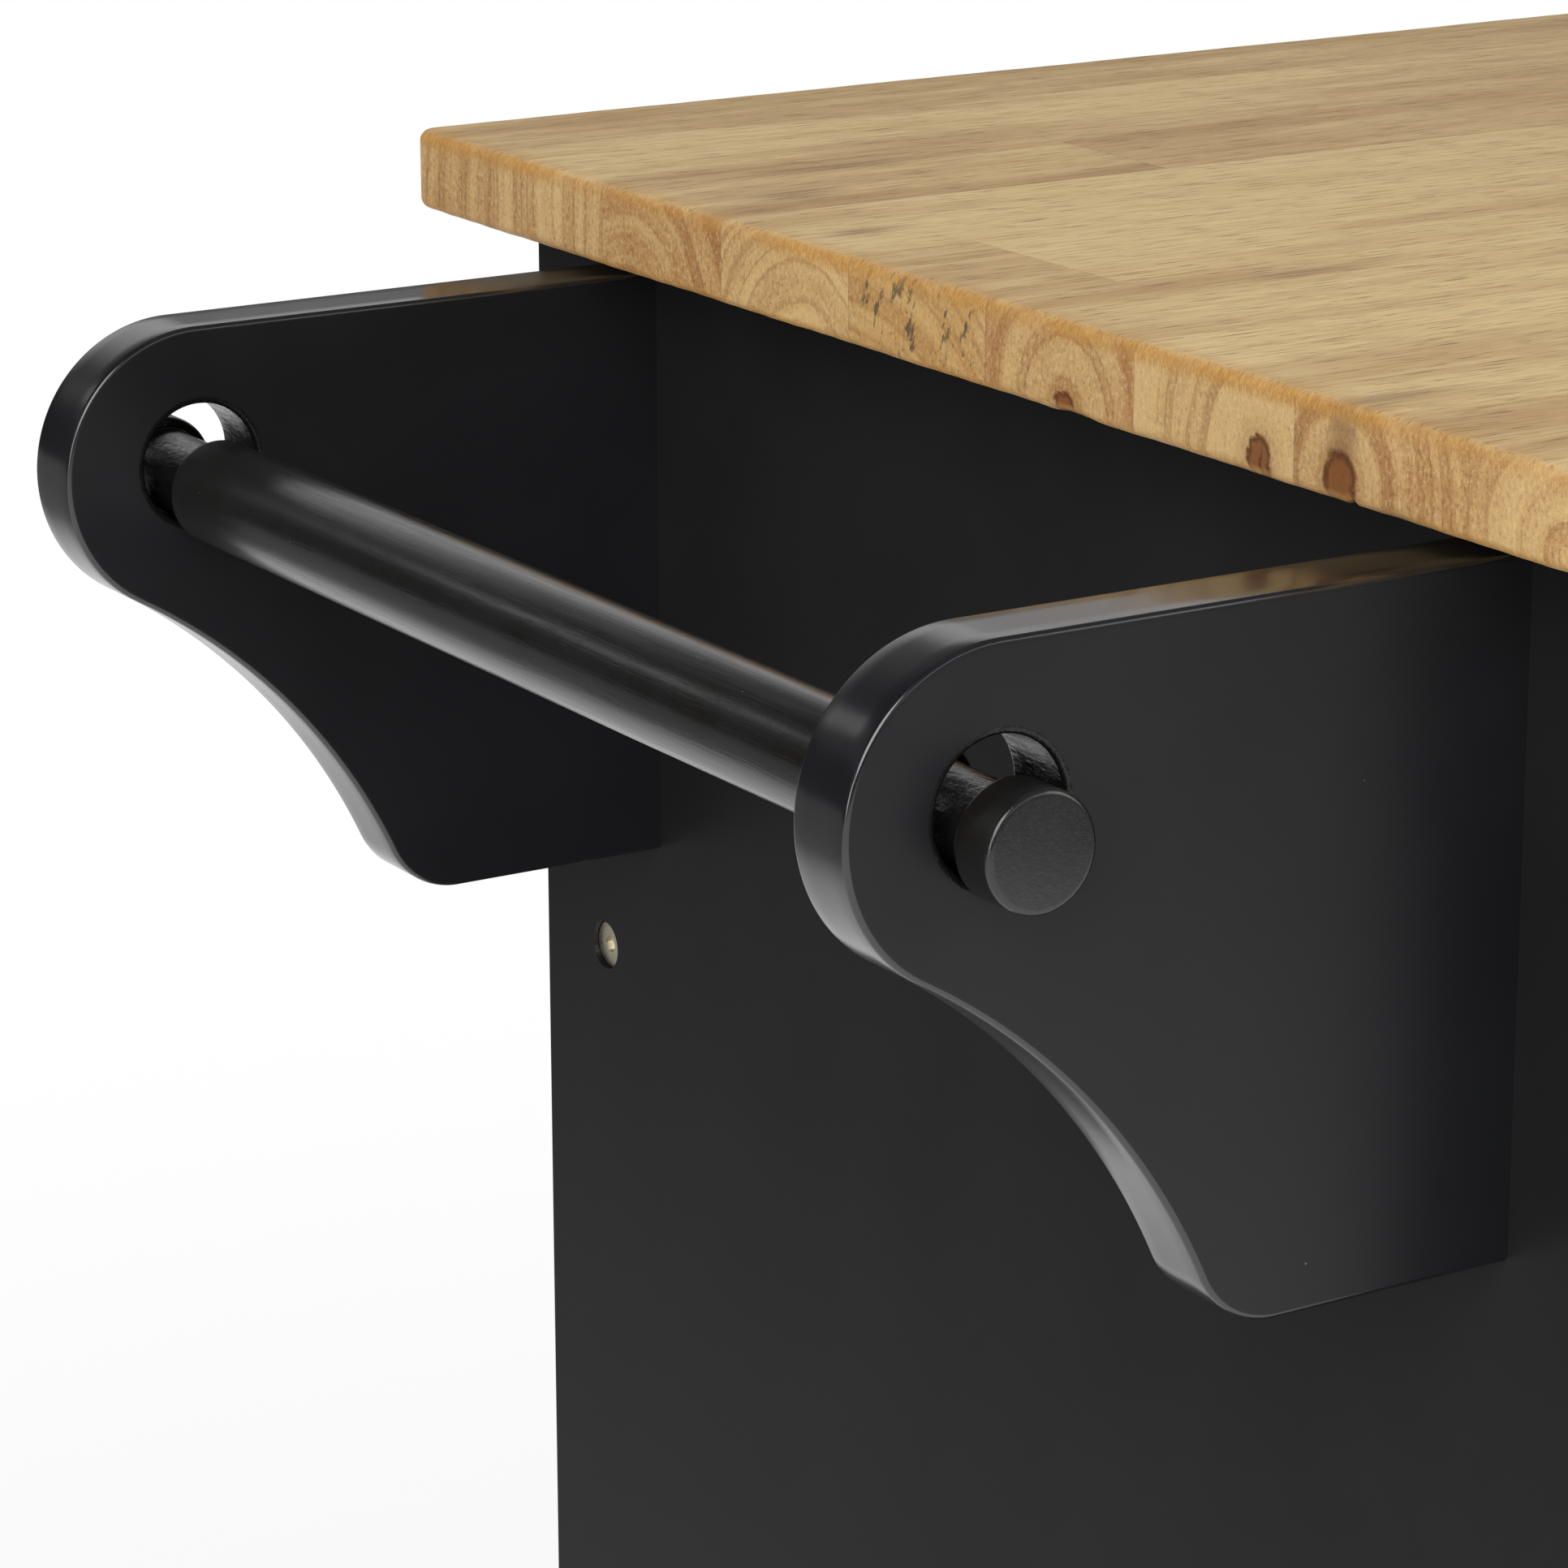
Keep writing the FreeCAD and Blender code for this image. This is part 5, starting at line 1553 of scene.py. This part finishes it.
# An axle's head: radius and place out from the fork's side, then the places where its profile
# starts and ends. Wheels and heads have one rounding
AXLE_HEAD = ((5.6 * MM, -0.4 * MM), (5.6 * MM, 0.7 * MM), (4.2 * MM, 1.6 * MM))
AXLE_HEAD_ENDS = (-0.4 * MM, 1.7 * MM)
CASTER_ROUNDING = 0.7 * MM

# A caster's plate: half its width, its thickness and its screws' inset, then a screw's radius,
# its rise, and how far its head stands into the plate
PLATE_HALF = 30 * MM
PLATE_THICKNESS = 3 * MM
PLATE_SCREW_INSET = 7 * MM
PLATE_SCREW_RADIUS = 4 * MM
PLATE_SCREW_RISE = 1.9 * MM
PLATE_SCREW_SINK = 0.1 * MM


def wheel_profiles(radius, width):
    """Closed profiles of a wheel's core and of the tyre round it, about the bore."""
    shapes = []
    for half_line in (CORE_PROFILE, (*TYRE_PROFILE, (radius, TREAD_INSET))):
        line = [(r, width / 2 - inset) for r, inset in half_line]
        mirrored = [(r, -place) for r, place in reversed(line)]
        loop = np.array(line + mirrored) * MM
        shapes.append(rounded_line(np.vstack([loop, loop[:1]]), CASTER_ROUNDING, 4))
    core, tyre = shapes
    return core[:-1], tyre[1:-1]


class ISLAND_OT_casters(bpy.types.Operator):
    """Finish the casters: plates, forks, wheels, pedals, axle heads and screws"""

    bl_idname = "island.casters"
    bl_label = "Casters"

    def execute(self, context):
        paint_node("caster_plates", "zinc_steel")
        for row, side in CORNERS:
            name = f"{row}_{side}"
            eased_copy(f"{name}_fork", FORK_EASE, "zinc_steel")
            self.make_wheel(name)
            self.make_axle_heads(name)
            self.make_plate_screws(name)
            if row == "front":
                eased_copy(f"{name}_brake_pedal", PEDAL_EASE, "black_plastic")
        return {"FINISHED"}

    def make_wheel(self, name):
        low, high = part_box(f"{name}_wheel")
        centre = (low + high) / 2
        sides = settings().hardware.turned_sides
        core, tyre = wheel_profiles((high.z - low.z) / 2 / MM, (high.x - low.x) / MM)
        core_shell = turned_ring(core, centre, (1, 0, 0), sides)
        tyre_shell = turned_ring(tyre, centre, (1, 0, 0), sides)
        points, faces = gathered([core_shell, tyre_shell])
        finishes = ("wheel_core", "wheel_rubber")
        piece = add_piece(
            f"{name}_wheel_turned", points, faces, finishes, f"{name}_wheel",
            stands_for=[f"{name}_wheel"], sharp=45)
        share_finishes(piece, np.arange(len(faces)) >= len(core_shell[1]))

    def make_axle_heads(self, name):
        low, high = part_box(f"{name}_fork")
        wheel_low, wheel_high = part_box(f"{name}_wheel")
        axle = (wheel_low + wheel_high) / 2
        start, end = AXLE_HEAD_ENDS
        profile = rounded_line([(POLE, start), *AXLE_HEAD, (POLE, end)], CASTER_ROUNDING, 5)
        points, faces = gathered([
            turned_solid(profile, (x, axle.y, axle.z), (way, 0, 0), 48)
            for x, way in ((low.x, -1), (high.x, 1))])
        add_piece(f"{name}_axle_heads", points, faces, ["zinc_steel"],
                  f"{name}_caster")

    def make_plate_screws(self, name):
        """Four pan-head screws through the corners of a caster's plate."""
        low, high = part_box("caster_plates")
        row, side = name.split("_")
        x = low.x + PLATE_HALF if side == "left" else high.x - PLATE_HALF
        y = low.y + PLATE_HALF if row == "front" else high.y - PLATE_HALF
        z = high.z - PLATE_THICKNESS + PLATE_SCREW_SINK
        reach = PLATE_HALF - PLATE_SCREW_INSET
        places = [(x + reach * a, y + reach * b, z) for a in (-1, 1) for b in (-1, 1)]
        points, faces = screw_heads(places, (0, 0, -1), PLATE_SCREW_RADIUS, PLATE_SCREW_RISE)
        add_piece(f"{name}_plate_screws", points, faces, ["zinc_steel"],
                  "cabinet")


# Stage

def rays_that_see(tree):
    """One for a ray from the camera or through glass, and one for a reflected ray."""
    rays = tree.node("ShaderNodeLightPath").outputs
    direct = tree.math("MAXIMUM", rays["Is Camera Ray"], rays["Is Transmission Ray"])
    return direct, rays["Is Glossy Ray"]


# The floor in reflections: between which products of x and y, in square metres, it turns from
# grey to white and how grey it is, and between which distances in metres it fades a little.
# Then between which distances the floor that the camera sees loses its shadow
QUARTERS = (-2.6, -0.8, 0.28, 1.0)
FAR_FADE = (1.5, 4.0, 1.0, 0.85)
SHADOW_FADE = (1.0, 2.2, 0.84, 1.0)

# The studio in reflections: where its wall rises out of the dark and its ceiling begins, by
# the sine of the height, and where the dark side ends, with the dark and the full level of each
WALL_RISES = (0.18, 0.32, 0.15, 1.0)
CEILING_BEGINS = (0.44, 0.54, 1.0, 0.1)
DARK_SIDE_ENDS = (-0.2, 0.12, 0.12, 1.0)
DIFFUSE_LEVEL = 0.56


def make_floor_finish():
    """A pale floor that shows as near white and keeps the island's shadow.

    In reflections it is white near the island, and grey further out at two opposite quarters,
    which gives the paint its dark and light sides.
    """
    material, tree, shader, coordinates = new_finish("pale_floor")
    cloud = tree.noise(coordinates["Object"], scale=3.0, detail=3)
    tree.feed(shader.inputs["Base Color"], tree.mix(cloud, grey(0.86), grey(0.9)))
    shader.inputs["Roughness"].default_value = 0.75
    shader.inputs["Specular IOR Level"].default_value = 0.1
    direct, reflected = rays_that_see(tree)
    distance = tree.vector("LENGTH", tree.stretched(coordinates["Object"], (1, 1, 0)))
    right, back, _ = tree.parts(coordinates["Object"])
    quarters = tree.band(tree.times(right, back), *QUARTERS)
    far = tree.times(tree.band(distance, *FAR_FADE), quarters)
    glow = tree.node("ShaderNodeEmission", {"Color": grey(1.0)})
    tree.feed(glow.inputs["Strength"], tree.blend(reflected, 1.0, far))
    shadowless = tree.band(distance, *SHADOW_FADE)
    share = tree.math("MAXIMUM", tree.times(direct, shadowless), reflected)
    mixed = tree.node("ShaderNodeMixShader")
    tree.feed(mixed.inputs[0], share)
    tree.feed(mixed.inputs[1], shader.outputs[0])
    tree.feed(mixed.inputs[2], glow.outputs[0])
    output = material.node_tree.nodes["Material Output"]
    tree.feed(output.inputs["Surface"], mixed.outputs[0])
    return material


def make_world():
    """White to the camera, grey as light on the object, and a studio to reflections.

    In reflections it is a pale wall that is brightest from 19 to 26 degrees up, with a dark
    ceiling above it, and dark on the side of the towel bar.
    """
    world = bpy.data.worlds.new("studio")
    world.use_nodes = True
    tree = Tree(world.node_tree)
    background = world.node_tree.nodes["Background"]
    direct, reflected = rays_that_see(tree)
    sideways, _, upward = tree.parts(tree.node("ShaderNodeTexCoord").outputs["Generated"])
    studio = tree.times(tree.band(upward, *WALL_RISES), tree.band(upward, *CEILING_BEGINS))
    studio = tree.times(studio, tree.band(sideways, *DARK_SIDE_ENDS))
    tree.feed(background.inputs["Color"], grey(1.0))
    strength = tree.blend(reflected, tree.blend(direct, DIFFUSE_LEVEL, 1.0), studio)
    tree.feed(background.inputs["Strength"], strength)
    bpy.context.scene.world = world


# Each lamp's place, the point that it faces, its width and its power
ISLAND_MIDDLE = (0.0, 0.0, 0.6)
LAMPS = {
    "key_light": ((-2.5, -1.9, 2.6), ISLAND_MIDDLE, 2.4, 64),
    "side_light": ((-2.8, -1.2, 1.1), (-0.45, 0.1, 0.8), 0.8, 7),
    "fill_light": ((2.6, -2.0, 2.2), ISLAND_MIDDLE, 2.6, 26),
    "back_light": ((-2.0, 3.0, 2.35), ISLAND_MIDDLE, 0.6, 0.7),
}
FLOOR_REACH = 9.0


def add_area_light(name, place, target, size, power):
    light = bpy.data.lights.new(name, "AREA")
    light.shape = "DISK"
    light.size = size
    light.energy = power
    lamp = new_object(name, light)
    lamp.location = place
    lamp.rotation_euler = (Vector(target) - Vector(place)).to_track_quat("-Z", "Y").to_euler()
    lamp.visible_camera = False


def add_camera():
    """The photograph's view: heading, pitch and roll make the camera's three directions."""
    stage = settings().stage
    ahead_flat = Vector((stage.heading[0], stage.heading[1], 0)).normalized()
    ahead = ahead_flat * math.cos(stage.pitch) - Vector((0, 0, math.sin(stage.pitch)))
    right = ahead.cross(Vector((0, 0, 1))).normalized()
    up = right.cross(ahead)
    leaning_right = right * math.cos(stage.roll) - up * math.sin(stage.roll)
    leaning_up = up * math.cos(stage.roll) + right * math.sin(stage.roll)
    data = bpy.data.cameras.new("photo_camera")
    data.lens = stage.lens
    data.sensor_width = 36
    data.clip_start = 0.05
    camera = new_object("photo_camera", data)
    turn = Matrix((leaning_right, leaning_up, -ahead)).transposed()
    camera.matrix_world = Matrix.Translation(Vector(stage.place)) @ turn.to_4x4()
    bpy.context.scene.camera = camera


class ISLAND_OT_stage(bpy.types.Operator):
    """Lay the floor and set the lights, world, camera and colour view"""

    bl_idname = "island.stage"
    bl_label = "Stage"

    def execute(self, context):
        corners = np.array([(-1, -1), (1, -1), (1, 1), (-1, 1)]) * FLOOR_REACH
        points = np.column_stack([corners, np.zeros(4)])
        mesh = bpy.data.meshes.new("floor")
        mesh.from_pydata(points.tolist(), [], [[0, 1, 2, 3]])
        mesh.materials.append(make_floor_finish())
        floor = new_object("floor", mesh)
        make_world()
        for name, values in LAMPS.items():
            add_area_light(name, *values)
        add_camera()
        context.scene.view_settings.view_transform = "Standard"
        return {"FINISHED"}


# Add-on

class ISLAND_PT_panel(bpy.types.Panel):
    bl_idname = "ISLAND_PT_panel"
    bl_label = "Kitchen island"
    bl_space_type = "VIEW_3D"
    bl_region_type = "UI"
    bl_category = "Island"

    def draw(self, context):
        island = context.scene.kitchen_island
        for group in (island.wood, island.paint, island.hardware, island.stage):
            box = self.layout.box()
            for name in group.__annotations__:
                box.prop(group, name)
        for operator in OPERATORS:
            self.layout.operator(operator.bl_idname)


OPERATORS = (
    ISLAND_OT_stage,
    ISLAND_OT_worktop,
    ISLAND_OT_towel_bar,
    ISLAND_OT_cabinet,
    ISLAND_OT_drawers,
    ISLAND_OT_doors,
    ISLAND_OT_pulls,
    ISLAND_OT_fittings,
    ISLAND_OT_casters,
)
GROUPS = (WoodSettings, PaintSettings, HardwareSettings, StageSettings, IslandSettings)
CLASSES = (*GROUPS, *OPERATORS, ISLAND_PT_panel)


def register():
    for item in CLASSES:
        bpy.utils.register_class(item)
    bpy.types.Scene.kitchen_island = PointerProperty(type=IslandSettings)


def unregister():
    del bpy.types.Scene.kitchen_island
    for item in reversed(CLASSES):
        bpy.utils.unregister_class(item)


def main():
    register()
    build_groups()
    for operator in OPERATORS:
        step = operator.bl_idname.split(".")[1]
        getattr(bpy.ops.island, step)()


if __name__ == "__main__":
    main()
